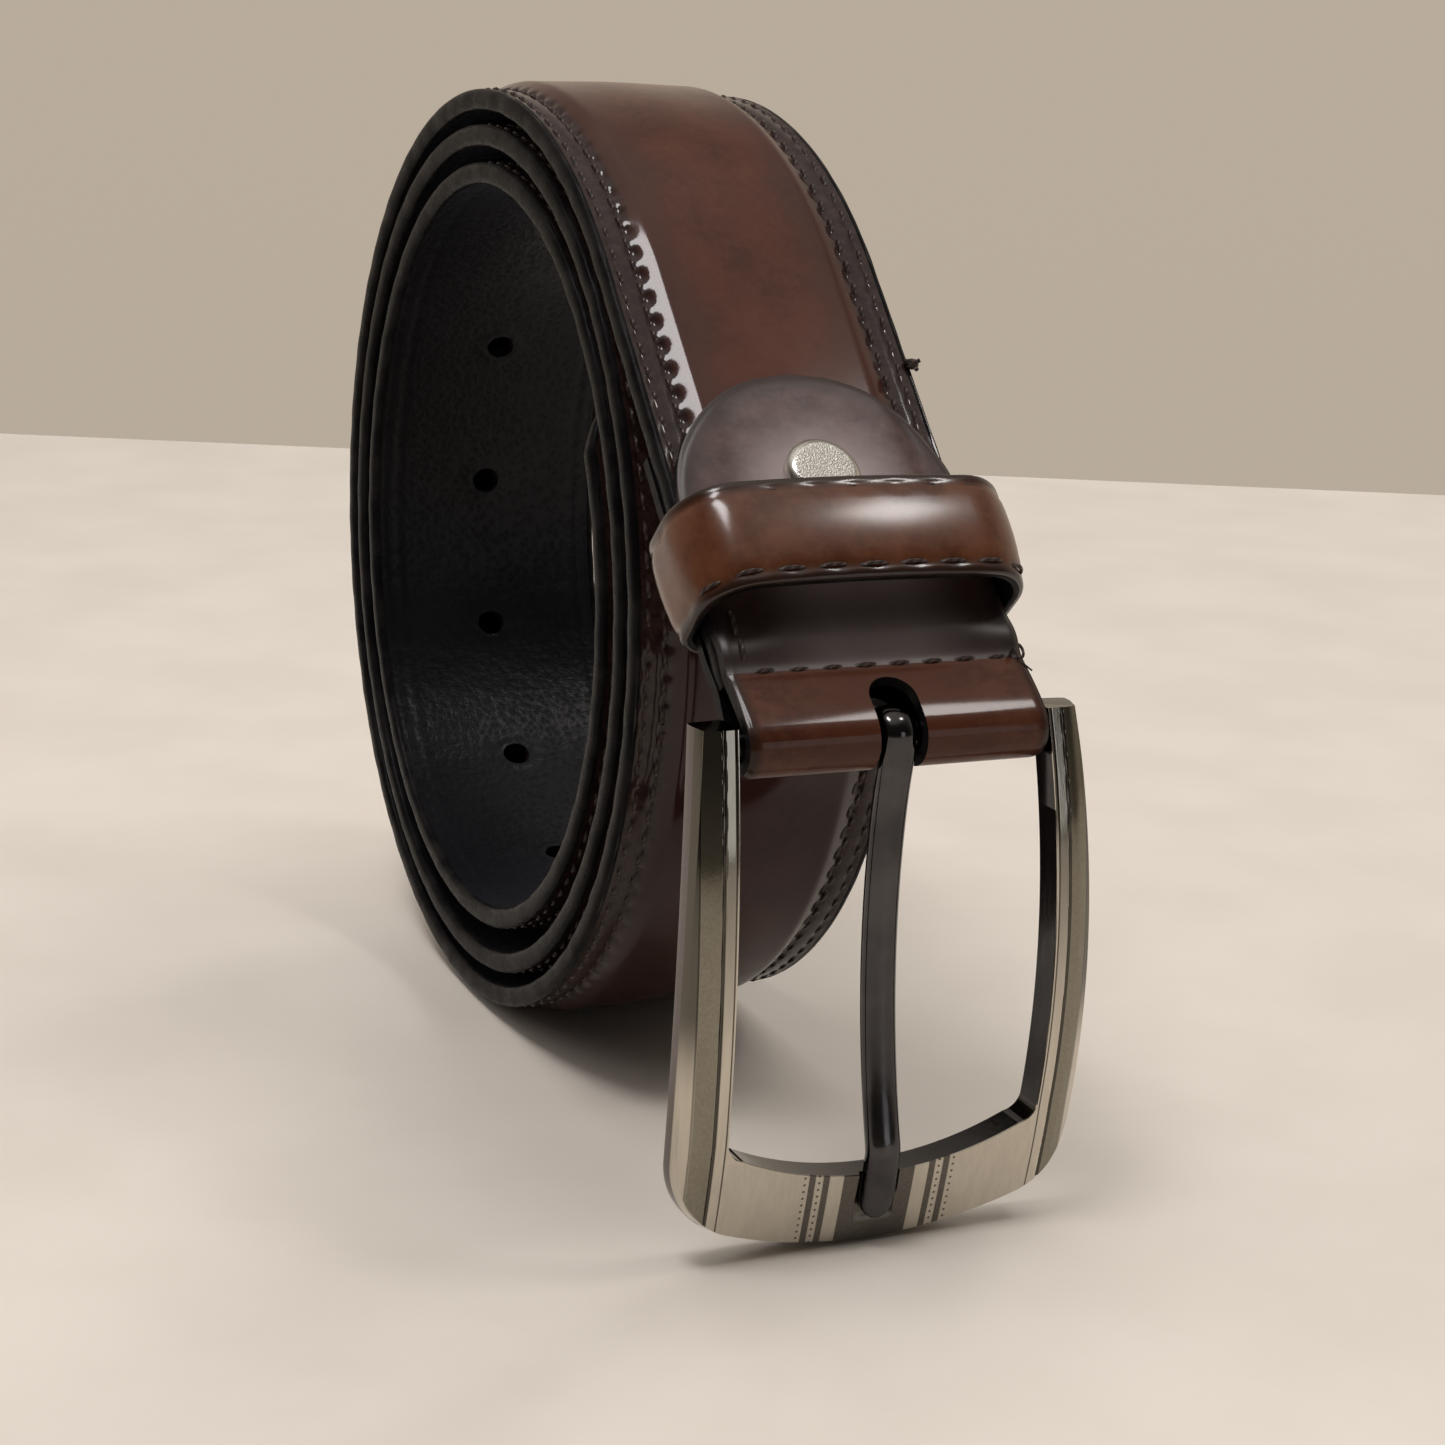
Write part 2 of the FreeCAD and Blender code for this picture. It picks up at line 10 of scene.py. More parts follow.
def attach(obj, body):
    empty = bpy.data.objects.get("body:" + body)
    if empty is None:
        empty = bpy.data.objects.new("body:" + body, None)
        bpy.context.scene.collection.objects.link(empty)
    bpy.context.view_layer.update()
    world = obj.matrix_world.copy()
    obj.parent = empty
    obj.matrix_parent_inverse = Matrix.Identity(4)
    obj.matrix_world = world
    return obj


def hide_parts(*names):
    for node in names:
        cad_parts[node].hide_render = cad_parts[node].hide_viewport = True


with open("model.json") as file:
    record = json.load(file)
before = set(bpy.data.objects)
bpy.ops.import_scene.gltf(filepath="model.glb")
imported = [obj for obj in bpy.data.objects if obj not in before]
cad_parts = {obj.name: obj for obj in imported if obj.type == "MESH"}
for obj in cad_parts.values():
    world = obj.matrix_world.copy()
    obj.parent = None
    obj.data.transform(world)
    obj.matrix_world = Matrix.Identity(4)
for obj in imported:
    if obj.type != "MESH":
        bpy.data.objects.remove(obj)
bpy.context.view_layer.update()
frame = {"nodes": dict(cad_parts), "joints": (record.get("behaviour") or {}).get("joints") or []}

# A rolled leather belt.  Sizes are in millimetres here and become metres in Shape.make().
#
# Along the strap, "s" is the length from the strap's end at the buckle, measured on its face.
# Across it, "x" is +X, and "depth" is how far a point lies under the crown of its face.
# On the straight strap, "u" is the height above the bar and "n" is out from mid-thickness.

MM = 0.001
RNG = np.random.default_rng(7)

JOINTS = {joint["name"]: joint for joint in frame["joints"]}
BAR = np.array(JOINTS["buckle_hinge"]["pos_m"]) / MM
UP = np.array(JOINTS["keeper_slide"]["axis"])
OUT = np.array((0.0, -UP[2], UP[1]))
LEAVE = math.atan2(UP[1], UP[2])

HALF_WIDTH, HALF_THICK, THICK = 17.5, 1.9, 3.8
BORDER_DEPTH, FACE_DEPTH = 1.2, 2.4
COIL_RADIUS, PITCH, HALF_TURNS, TIP_TURN = 62.0, 4.5, 5, math.radians(179.5)
STRAP_END, STRAIGHT = 7.2, 63.0
TIP_LENGTH, TIP_ARC = 14.0, 19.0
HOLE_RADIUS, HOLE_FIRST, HOLE_STEP, HOLES = 2.0, math.radians(107), math.radians(26), 5
ROW_OUTER, ROW_INNER, STITCH_PITCH = 15.8, 13.7, 3.4

ODD_CENTRE = np.array((0.0, COIL_RADIUS - PITCH / 2 - 0.3))
EVEN_CENTRE = ODD_CENTRE + PITCH / 2 * np.array((-math.cos(LEAVE), math.sin(LEAVE)))
RUN = STRAIGHT - STRAP_END
SPRING = 1.4


def smooth(value, low, high):
    """0 below low, 1 above high, and a smooth step between."""
    t = np.clip((value - low) / (high - low), 0, 1)
    return t * t * (3 - 2 * t)


def bump(value, middle, width):
    """A soft bump of height 1."""
    return np.exp(-((value - middle) / width) ** 2)


def lengths(line):
    """The length along a line up to each of its points."""
    return np.concatenate([[0], np.cumsum(np.linalg.norm(np.diff(line, axis=0), axis=1))])


def unit(rows):
    """Each row as a direction of length 1."""
    return rows / np.linalg.norm(rows, axis=1)[:, None]


def full_turn(count):
    """Angles at even steps round a circle."""
    return np.linspace(0, 2 * math.pi, count, endpoint=False)


def spread(*values):
    """Numbers and arrays as arrays of one shape."""
    return np.broadcast_arrays(*(np.asarray(value, float) for value in values))


def pairs(a, b):
    """Two arrays put together as UV pairs, in metres."""
    return np.stack(spread(a, b), -1) * MM


def quad_middles(corners):
    """The middle of each quad of a grid, from the values at its corners."""
    return (corners[:-1, :-1] + corners[1:, 1:]) / 2


# ---- the strap's path ----

def turn_radius(turn):
    """The radius of the strap's face on a half turn."""
    return COIL_RADIUS - turn * PITCH / 2


def turn_start(turn):
    """The length along the face at which a half turn starts."""
    return RUN + sum(math.pi * turn_radius(k) for k in range(turn))


def spring(s):
    """How far the free end's turn springs inwards from the turn outside it."""
    return SPRING * smooth(s, turn_start(HALF_TURNS - 1) + 15, turn_start(HALF_TURNS - 1) + 120)


STRAP_LENGTH = turn_start(HALF_TURNS) + TIP_TURN * turn_radius(HALF_TURNS)
HOLE_PLACES = [turn_start(HALF_TURNS - 1) + (HOLE_FIRST + k * HOLE_STEP) * turn_radius(HALF_TURNS - 1)
               for k in range(HOLES)]


def strap_xyz(s, x, depth):
    """Points on the strap from their length, place across and depth under the crown."""
    s, x, depth = spread(s, x, depth)
    crown = BAR[1:] + (STRAP_END + s)[..., None] * UP[1:] + HALF_THICK * OUT[1:]
    out = np.broadcast_to(OUT[1:], crown.shape).copy()
    for turn in range(HALF_TURNS + 1):
        radius, start = turn_radius(turn), turn_start(turn)
        here = s >= start
        angle = LEAVE + math.pi * turn + (s[here] - start) / radius
        out[here] = np.stack([-np.cos(angle), np.sin(angle)], -1)
        crown[here] = (ODD_CENTRE if turn % 2 else EVEN_CENTRE) + radius * out[here]
    place = crown - out * (depth + spring(s))[..., None]
    return np.concatenate([x[..., None], place[..., :1], np.maximum(place[..., 1:], 0)], -1)


def run_xyz(x, u, n):
    """Points beside the straight strap, from their height above the bar and place outwards."""
    x, u, n = spread(x, u, n)
    place = BAR + u[..., None] * UP + n[..., None] * OUT
    place[..., 0] = x
    return place


def hang_xyz(x, y, h):
    """Points beside the hanging buckle: y is behind the bar and h above it."""
    x, y, h = spread(x, y, h)
    return np.stack([x, BAR[1] + y, BAR[2] + h], -1)


def half_width(s):
    """Half the strap's width, which narrows to a blunt point at its free end."""
    reach = math.hypot(HALF_WIDTH, TIP_LENGTH) / 2
    inward = math.sqrt(TIP_ARC ** 2 - reach ** 2)
    centre_x = HALF_WIDTH / 2 - inward * TIP_LENGTH / (2 * reach)
    centre_s = TIP_LENGTH / 2 - inward * HALF_WIDTH / (2 * reach)
    past = np.clip(s - (STRAP_LENGTH - TIP_LENGTH), 0, TIP_LENGTH)
    return centre_x + np.sqrt(TIP_ARC ** 2 - (past - centre_s) ** 2)


# ---- meshes ----

def add_object(name, data):
    """A new object in the scene."""
    piece = bpy.data.objects.new(name, data)
    bpy.context.scene.collection.objects.link(piece)
    return piece


class Shape:
    """Gathers grids and caps into one mesh.  Each corner of each face has its own UV pair."""

    def __init__(self):
        self.verts, self.faces, self.uvs, self.marks, self.count = [], [], [], [], 0

    def add(self, points, uv):
        """Adds points and says where they start."""
        start = self.count
        points = np.asarray(points, float).reshape(-1, 3)
        self.verts.append(points)
        self.corner_uv = np.asarray(uv, float).reshape(-1, 2)
        self.count += len(points)
        return start

    def face_block(self, quads, start, mark):
        """Faces between the points that were added last, with the number of each one's material."""
        self.faces += (quads + start).tolist()
        self.uvs.append(self.corner_uv[quads.ravel()])
        self.marks += np.broadcast_to(mark, len(quads)).tolist()

    def grid(self, points, uv, ring=False, loop=False, caps=False, skip=None, mark=0):
        """A grid of quads.  ring joins the last column to the first, loop the last row."""
        points = np.asarray(points, float)
        rows, cols = points.shape[:2]
        start = self.add(points, uv)
        index = np.arange(rows * cols).reshape(rows, cols)
        right = np.roll(index, -1, 1) if ring else index[:, 1:]
        left = index if ring else index[:, :-1]
        if loop:
            quads = np.stack([left, right, np.roll(right, -1, 0), np.roll(left, -1, 0)], -1)
        else:
            quads = np.stack([left[:-1], right[:-1], right[1:], left[1:]], -1)
        mark = np.broadcast_to(mark, quads.shape[:2])
        if skip is not None:
            quads, mark = quads[~skip], mark[~skip]
        self.face_block(quads.reshape(-1, 4), start, mark.ravel())
        if caps:
            for row in (index[0][::-1], index[-1]):
                self.faces.append((row + start).tolist())
                self.uvs.append(self.corner_uv[row])
                self.marks.append(0)
        return start + index

    def many(self, points, uv):
        """Many closed grids: points is (copy, row, column, 3)."""
        for copy, copy_uv in zip(points, uv):
            self.grid(copy, copy_uv, ring=True, caps=True)

    def wall(self, rim_a, rim_b, uv, mark):
        """Joins two rows of points that are already in the mesh."""
        for k in range(len(rim_a) - 1):
            self.faces.append([rim_a[k], rim_a[k + 1], rim_b[k + 1], rim_b[k]])
            self.uvs.append(np.tile(uv, (4, 1)))
            self.marks.append(mark)

    def make(self, name, materials, body, slot, replaces, sharp=38):
        """An object that rides on a body and takes the place of CAD nodes."""
        mesh = bpy.data.meshes.new(name)
        mesh.from_pydata(np.concatenate(self.verts) * MM, [], self.faces)
        layer = mesh.uv_layers.new(name="Sheet")
        layer.data.foreach_set("uv", np.concatenate(self.uvs).astype(np.float32).ravel())
        for material in materials:
            mesh.materials.append(material)
        mesh.polygons.foreach_set("material_index", np.asarray(self.marks, np.int32))
        mesh.polygons.foreach_set("use_smooth", np.ones(len(mesh.polygons), bool))
        mesh.set_sharp_from_angle(angle=math.radians(sharp))
        mesh.update()
        work = bmesh.new()
        work.from_mesh(mesh)
        bmesh.ops.recalc_face_normals(work, faces=work.faces)
        work.to_mesh(mesh)
        work.free()
        piece = add_object(name, mesh)
        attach(piece, body)
        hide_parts(*replaces)


# ---- materials ----

class Nodes:
    """Builds a node tree with short calls."""

    def __init__(self, tree):
        self.tree = tree

    def node(self, kind, inputs=(), **settings):
        """A node with its settings, and with its inputs fed."""
        node = self.tree.nodes.new(kind)
        for key, value in settings.items():
            setattr(node, key, value)
        for key, value in dict(inputs).items():
            self.feed(node.inputs[key], value)
        return node

    def feed(self, socket, value):
        """Links a socket, or gives it a value."""
        if isinstance(value, bpy.types.NodeSocket):
            self.tree.links.new(value, socket)
        else:
            socket.default_value = value

    def math(self, operation, a, b=0.0, clamp=False):
        """The result of a calculation."""
        node = self.node("ShaderNodeMath", {0: a, 1: b}, operation=operation, use_clamp=clamp)
        return node.outputs[0]

    def times(self, a, b, clamp=False):
        """The product of two values."""
        return self.math("MULTIPLY", a, b, clamp)

    def step(self, value, low, high, start=0.0, end=1.0):
        """From start to end as value goes from low to high."""
        node = self.node("ShaderNodeMapRange", {0: value, 1: low, 2: high, 3: start, 4: end},
                         interpolation_type="SMOOTHSTEP")
        return node.outputs[0]

    def tone(self, value, low, high, a, b):
        """From colour a to colour b as value goes from low to high."""
        return self.mix(self.step(value, low, high), a, b)

    def band(self, value, low, high, soft=0.08):
        """1 between low and high."""
        rise = self.step(value, low - soft, low + soft)
        fall = self.step(value, high - soft, high + soft, 1.0, 0.0)
        return self.times(rise, fall)

    def mix(self, share, a, b):
        """Colour a where share is 0, and colour b where it is 1."""
        node = self.node("ShaderNodeMix", data_type="RGBA")
        self.feed(node.inputs[0], share)
        for socket, value in ((node.inputs[6], a), (node.inputs[7], b)):
            self.feed(socket, value if isinstance(value, bpy.types.NodeSocket) else (*value, 1.0))
        return node.outputs[2]


class Paint(Nodes):
    """A Principled material, made with its fixed settings and then its linked ones."""

    def __init__(self, name, **settings):
        self.material = bpy.data.materials.new(name)
        self.material.use_nodes = True
        super().__init__(self.material.node_tree)
        self.shader = self.tree.nodes["Principled BSDF"]
        self.place = self.node("ShaderNodeTexCoord").outputs["Object"]
        for key, value in settings.items():
            self.shader.inputs[key.replace("_", " ")].default_value = value

    def sheet(self, axis=None):
        """The piece's own flat coordinates, in millimetres, or one of them."""
        flat = self.scaled(self.node("ShaderNodeUVMap", uv_map="Sheet").outputs[0], (1000, 1000, 1000))
        return flat if axis is None else self.node("ShaderNodeSeparateXYZ", {0: flat}).outputs[axis]

    def scaled(self, vector, factors):
        """A vector stretched along each axis."""
        return self.node("ShaderNodeVectorMath", {0: vector, 1: factors}, operation="MULTIPLY").outputs[0]

    def noise(self, scale, detail=3.0, rough=0.55, stretch=None):
        """A cloudy pattern on the piece, in cycles for each metre."""
        place = self.scaled(self.place, stretch) if stretch else self.place
        return self.node("ShaderNodeTexNoise", {"Vector": place, "Scale": scale, "Detail": detail,
                                                "Roughness": rough}).outputs[0]

    def cells(self, scale, feature="F1"):
        """A pattern of cells on the piece: the distance from each cell's middle."""
        node = self.node("ShaderNodeTexVoronoi", {"Vector": self.place, "Scale": scale}, feature=feature)
        return node.outputs["Distance"]

    def bumps(self, *layers):
        """Bump nodes in a chain, each (height, distance in mm, strength)."""
        normal = None
        for height, distance, strength in layers:
            node = self.node("ShaderNodeBump", {"Height": height, "Distance": distance * MM,
                                                "Strength": strength})
            if normal:
                self.feed(node.inputs["Normal"], normal)
            normal = node.outputs[0]
        self.feed(self.shader.inputs["Normal"], normal)

    def set(self, **links):
        """Links the last inputs of the shader, and hands out the material."""
        for key, value in links.items():
            self.feed(self.shader.inputs[key.replace("_", " ")], value)
        return self.material


def strap_leather():
    """Glazed brown panel with painted light, paler over the top of the coil, and painted shade, darker under
    the coil, with a dark border.
    """
    p = Paint("strap_leather", Coat_Weight=0.60, Coat_Roughness=0.10, Specular_IOR_Level=0.03)
    along, across = p.sheet(0), p.math("ABSOLUTE", p.sheet(1))
    blotch = p.noise(70.0, 5.0, 0.55)
    fine = p.noise(900.0, 4.0, 0.6)
    panel = p.tone(blotch, 0.34, 0.66, (0.047, 0.0112, 0.0050), (0.088, 0.0235, 0.0110))
    panel = p.mix(p.step(fine, 0.35, 0.7, 0.0, 0.3), panel, (0.105, 0.034, 0.0175))
    panel = p.mix(p.step(across, 4.0, 11.5, 0.0, 0.7), panel, (0.045, 0.0150, 0.0115))
    # Painted light: the panel is paler over the top of the coil, as if lit from above.
    crown = p.times(p.step(along, 80.0, 140.0, 0.0, 0.7), p.step(along, 170.0, 220.0, 1.0, 0.0))
    panel = p.mix(crown, panel, (0.118, 0.0500, 0.0340))
    # Painted shade: the panel is darker under the coil, where it rests on the table.
    panel = p.mix(p.step(along, 285.0, 335.0, 0.0, 0.72), panel, (0.018, 0.0070, 0.0078))
    border = p.tone(fine, 0.35, 0.7, (0.019, 0.0100, 0.0092), (0.038, 0.0210, 0.0195))
    colour = p.tone(across, 11.8, 13.2, panel, border)
    colour = p.tone(across, 16.5, 16.95, colour, (0.007, 0.006, 0.006))
    pores = p.cells(2600.0)
    creases = p.noise(260.0, 5.0, 0.65, (1.0, 0.55, 0.55))
    p.bumps((creases, 0.06, 0.30), (p.step(pores, 0.0, 0.35), 0.015, 0.3), (fine, 0.015, 0.5))
    rough = p.step(p.noise(130.0, 4.0), 0.3, 0.7, 0.28, 0.42)
    return p.set(Base_Color=colour, Roughness=rough)


def lining_leather():
    """Black pebbled leather with a soft bluish sheen."""
    p = Paint("lining_leather", Sheen_Weight=0.05, Sheen_Roughness=0.4,
              Sheen_Tint=(0.55, 0.62, 0.85, 1.0), Specular_IOR_Level=0.16)
    pebbles = p.cells(1150.0, "SMOOTH_F1")
    small = p.cells(2900.0)
    broad = p.noise(60.0, 3.0)
    colour = p.tone(broad, 0.35, 0.65, (0.0020, 0.0018, 0.0024), (0.0050, 0.0046, 0.0060))
    colour = p.mix(p.step(pebbles, 0.15, 0.5, 0.0, 0.6), colour, (0.008, 0.0078, 0.010))
    creases = p.noise(240.0, 4.0, 0.6, (0.35, 1.0, 1.0))
    p.bumps((broad, 0.5, 0.25), (creases, 0.26, 0.6), (pebbles, 0.09, 0.6), (small, 0.04, 0.4))
    return p.set(Base_Color=colour, Roughness=p.step(pebbles, 0.1, 0.6, 0.48, 0.30))


def edge_paint():
    """Black edge paint, slightly uneven, with a soft gloss."""
    p = Paint("edge_paint", IOR=1.12)
    broad = p.noise(220.0, 4.0)
    fine = p.noise(1500.0, 3.0)
    colour = p.tone(broad, 0.35, 0.65, (0.0045, 0.0042, 0.0045), (0.013, 0.0115, 0.012))
    p.bumps((broad, 0.12, 0.5), (fine, 0.03, 0.5))
    return p.set(Base_Color=colour, Roughness=p.step(fine, 0.3, 0.7, 0.26, 0.40))


def brown_thread():
    """Waxed thread: two plies that twist along each stitch."""
    p = Paint("brown_thread", Specular_IOR_Level=0.4)
    ply = p.node("ShaderNodeTexWave", {"Vector": p.sheet(), "Scale": 0.55, "Distortion": 0.6,
                                       "Detail": 1.0}, bands_direction="DIAGONAL").outputs[0]
    colour = p.mix(ply, (0.014, 0.008, 0.007), (0.060, 0.036, 0.030))
    p.bumps((ply, 0.10, 0.8), (p.noise(4000.0), 0.02, 0.6))
    return p.set(Base_Color=colour, Roughness=p.step(ply, 0.0, 1.0, 0.6, 0.36))


def chape_leather(name, low, high, speckle, painted_sheen, shaded, rim, coat, gloss, spec):
    """Dark leather, burnished at its rim, that turns to painted_sheen, a colour painted in its middle for
    the glow of light there.

    shaded is the share of a near-black colour, a painted shadow of the keeper, in the lower part of its
    front."""
    p = Paint(name, Coat_Weight=coat, Coat_Roughness=gloss, Specular_IOR_Level=spec)
    fine = p.noise(800.0, 4.0, 0.6)
    grain = p.noise(260.0, 5.0, 0.65, (0.75, 1.4, 1.4))
    colour = p.tone(grain, 0.35, 0.65, low, high)
    colour = p.mix(p.step(fine, 0.4, 0.75, 0.0, 0.3), colour, speckle)
    # Painted sheen: the middle, away from the rim, takes a colour that stands in for the glow of light.
    colour = p.mix(p.step(p.sheet(1), 4.0, 14.0, 0.0, 0.85), colour, painted_sheen)
    # Painted shadow: the front below the keeper turns near black, as the keeper shades it.
    colour = p.mix(p.step(p.sheet(0), 13.0, 25.0, shaded, 0.0), colour, (0.014, 0.007, 0.0065))
    colour = p.mix(p.step(p.sheet(1), 0.2, rim, 0.85, 0.0), colour, (0.014, 0.007, 0.0055))
    pores = p.cells(2400.0)
    creases = p.noise(300.0, 5.0, 0.65)
    p.bumps((creases, 0.05, 0.35), (grain, 0.03, 0.35),
            (p.step(pores, 0.0, 0.3), 0.02, 0.3), (fine, 0.02, 0.5))
    return p.set(Base_Color=colour, Roughness=p.step(creases, 0.3, 0.7, 0.34, 0.46))


def keeper_leather():
    """Glossy lighter brown, burnished at the edges."""
    p = Paint("keeper_leather", Coat_Weight=0.8, Coat_Roughness=0.17, Specular_IOR_Level=0.08)
    blotch = p.noise(130.0, 5.0, 0.6)
    fine = p.noise(900.0, 4.0, 0.6)
    colour = p.tone(blotch, 0.35, 0.65, (0.068, 0.0208, 0.0080), (0.112, 0.0375, 0.0152))
    colour = p.mix(p.step(fine, 0.4, 0.75, 0.0, 0.3), colour, (0.150, 0.060, 0.029))
    colour = p.mix(p.step(p.sheet(1), 0.3, 2.0, 0.92, 0.0), colour, (0.014, 0.0065, 0.004))
    pores = p.cells(2600.0)
    p.bumps((p.noise(320.0, 5.0, 0.6), 0.06, 0.35), (p.step(pores, 0.0, 0.3), 0.015, 0.4))
    return p.set(Base_Color=colour, Roughness=p.step(blotch, 0.3, 0.7, 0.24, 0.36))


def silver():
    """Bright metal with a fine sparkling grain on its top."""
    p = Paint("silver", Metallic=1.0)
    grain = p.cells(4600.0)
    fine = p.noise(7200.0, 3.0)
    top = p.step(p.sheet(0), 3.4, 3.7, 1.0, 0.0)
    colour = p.tone(fine, 0.3, 0.7, (0.58, 0.56, 0.51), (0.90, 0.88, 0.83))
    height = p.times(p.math("ADD", grain, fine), top)
    p.bumps((height, 0.09, 1.0))
    return p.set(Base_Color=colour, Roughness=p.step(top, 0.0, 1.0, 0.14, 0.50))


def black_nickel():
    """Polished black nickel with faint handling marks."""
    p = Paint("black_nickel", Metallic=1.0)
    haze = p.noise(140.0, 4.0)
    marks = p.noise(1300.0, 3.0, 0.6, (1.0, 1.0, 0.12))
    colour = p.tone(haze, 0.3, 0.7, (0.0525, 0.05025, 0.0510), (0.0840, 0.0804, 0.0816))
    p.bumps((marks, 0.010, 0.5), (haze, 0.05, 0.15))
    return p.set(Base_Color=colour, Roughness=p.step(marks, 0.3, 0.7, 0.104, 0.169))


# The frame's bands run out from the window's edge on the arms, and from the middle on the bottom bar.
WINDOW_HALF = 19.0
LAND, GROOVE, FACET, OUTER_SIDE = 1.5, 1.95, 4.1, 8.0
PATCH = 4.4
PLATE_BANDS = ((6.15, 6.95), (7.9, 8.7))
PLATE_DOTS = (7.42, 9.2)
DOT_PITCH = 0.87


def plate_pattern(p, colour, side, height, under, grain):
    """The bottom bar's grey middle, and the grey bands and rows of dots on each side of it."""
    grey = p.mix(grain, (0.115, 0.105, 0.091), (0.146, 0.133, 0.117))
    patch = p.step(side, PATCH - 0.06, PATCH + 0.06, 1.0, 0.0)
    bands = p.math("ADD", p.band(side, *PLATE_BANDS[0], 0.05), p.band(side, *PLATE_BANDS[1], 0.05))
    colour = p.mix(p.times(p.math("ADD", patch, bands, True), under, True), colour, grey)
    row = p.math("SUBTRACT", p.math("FRACT", p.times(height, 1 / DOT_PITCH)), 0.5)
    row = p.math("POWER", p.math("ABSOLUTE", p.times(row, DOT_PITCH)), 2.0)
    for middle in PLATE_DOTS:
        apart = p.math("POWER", p.math("ABSOLUTE", p.math("SUBTRACT", side, middle)), 2.0)
        dot = p.step(p.math("ADD", apart, row), 0.012, 0.035, 1.0, 0.0)
        colour = p.mix(p.times(dot, under), colour, (0.11, 0.095, 0.08))
    return colour


def frame_metal():
    """Brushed beige plating, with an olive facet, dark lines and darker sides on the arms; painted shade
    darkens the arms' outer band and land higher up.
    """
    p = Paint("frame_metal", Metallic=1.0)
    side, height = p.math("ABSOLUTE", p.sheet(0)), p.sheet(1)
    out = p.math("SUBTRACT", side, WINDOW_HALF)
    brushed = p.noise(1500.0, 3.0, 0.6, (1.0, 1.0, 0.06))
    speck = p.noise(3200.0, 3.0)
    beige = p.tone(brushed, 0.3, 0.7, (0.530, 0.488, 0.416), (0.578, 0.536, 0.458))
    grain = p.step(speck, 0.3, 0.7)
    olive = p.mix(grain, (0.215, 0.198, 0.158), (0.255, 0.237, 0.190))
    violet = p.mix(grain, (0.155, 0.138, 0.135), (0.185, 0.165, 0.160))
    colour = p.mix(p.band(out, GROOVE, FACET, 0.06), beige, olive)
    # Painted reflection: the outer band keeps its beige, as if mirroring the bright table, only low on the
    # arm, and is darker higher up.
    edge = p.times(p.step(out, FACET - 0.05, FACET + 0.05), p.step(height, -38.0, -27.0))
    # Painted shade: the polished land darkens towards the arm's top, leaving it bright low down, as if
    # mirroring the table.
    painted_land_shade = p.times(p.band(out, 0.30, LAND, 0.1), p.step(height, -36.0, -14.0, 0.0, 0.55))
    colour = p.mix(painted_land_shade, colour, (0.05, 0.045, 0.035))
    colour = p.mix(edge, colour, (0.1215, 0.1125, 0.0945))
    for low, high, soft, much in ((LAND, GROOVE, 0.05, 0.9), (0.24, 0.42, 0.04, 0.85),
                                  (FACET + 0.02, FACET + 0.2, 0.04, 0.6)):
        line = p.times(p.band(out, low, high, soft), much)
        colour = p.mix(line, colour, (0.030, 0.026, 0.022))
    colour = p.mix(p.step(out, OUTER_SIDE - 1.2, OUTER_SIDE - 0.8), colour, violet)
    under = p.step(height, -45.5, -44.5, 1.0, 0.0)
    colour = plate_pattern(p, colour, side, height, under, grain)
    p.bumps((brushed, 0.006, 0.5), (speck, 0.006, 0.3))
    plate = p.times(p.step(out, -0.1, 0.1, 1.0, 0.0), under)
    rough = p.math("ADD", p.times(plate, 0.20), 0.10)
    return p.set(Base_Color=colour, Roughness=rough)


def plain_floor():
    """Pale, slightly glossy table top."""
    p = Paint("table", Specular_IOR_Level=0.25)
    grain = p.noise(30.0, 4.0)
    colour = p.tone(grain, 0.3, 0.7, (0.705, 0.650, 0.590), (0.745, 0.690, 0.630))
    return p.set(Base_Color=colour, Roughness=p.step(grain, 0.3, 0.7, 0.40, 0.48))


FACE = strap_leather()
LINING = lining_leather()
EDGE = edge_paint()
THREAD = brown_thread()
# The tab's fourth colour is a pale painted sheen for the light that glows round the rivet, and 0.75 its
# share of painted keeper shadow; the fold's is close to its own colours, with no shadow.
CHAPE = chape_leather("chape_leather", (0.044, 0.0185, 0.0150), (0.082, 0.0395, 0.0340),
                      (0.150, 0.090, 0.078), (0.390, 0.310, 0.300), 0.75, 3.8, 0.5, 0.42, 0.25)
FOLD_LEATHER = chape_leather("fold_leather", (0.045, 0.0130, 0.0068), (0.080, 0.0265, 0.0132),
                             (0.115, 0.046, 0.025), (0.070, 0.0220, 0.0110), 0.0, 1.9, 0.35, 0.09, 0.06)
KEEPER = keeper_leather()
SILVER = silver()
STEEL = black_nickel()
FRAME_METAL = frame_metal()


# ---- the strap ----

FINE_STEP, COARSE_STEP = STITCH_PITCH / 6, STITCH_PITCH / 2


def strap_stations():
    """Lengths along the strap: fine on the turn that shows its face, and round each hole."""
    shown = turn_start(2)
    places = [np.arange(0, shown, FINE_STEP), np.arange(shown, STRAP_LENGTH, COARSE_STEP)]
    places += [np.arange(hole - 3.5, hole + 3.6, 0.5) for hole in HOLE_PLACES]
    places += [np.linspace(STRAP_LENGTH - TIP_LENGTH, STRAP_LENGTH - 0.05, 30)]
    every = np.unique(np.round(np.concatenate(places), 3))
    every = every[every < STRAP_LENGTH]
    return every[np.concatenate([[True], np.diff(every) > 0.12])]


def both_sides(values):
    """A list of places from the middle outwards, as a row from left to right."""
    values = np.asarray(values, float)
    return np.concatenate([-values[::-1], values[1:] if values[0] == 0 else values])


SHOULDER_TOP, SHOULDER_FOOT, SHOULDER_ROUND = 10.9, 13.3, 0.14


def dents(s, phase, reach=0.75):
    """1 at each stitch hole, falling to 0 a little way along."""
    turns = s / STITCH_PITCH - phase
    return bump((turns - np.round(turns)) * STITCH_PITCH, 0, reach)


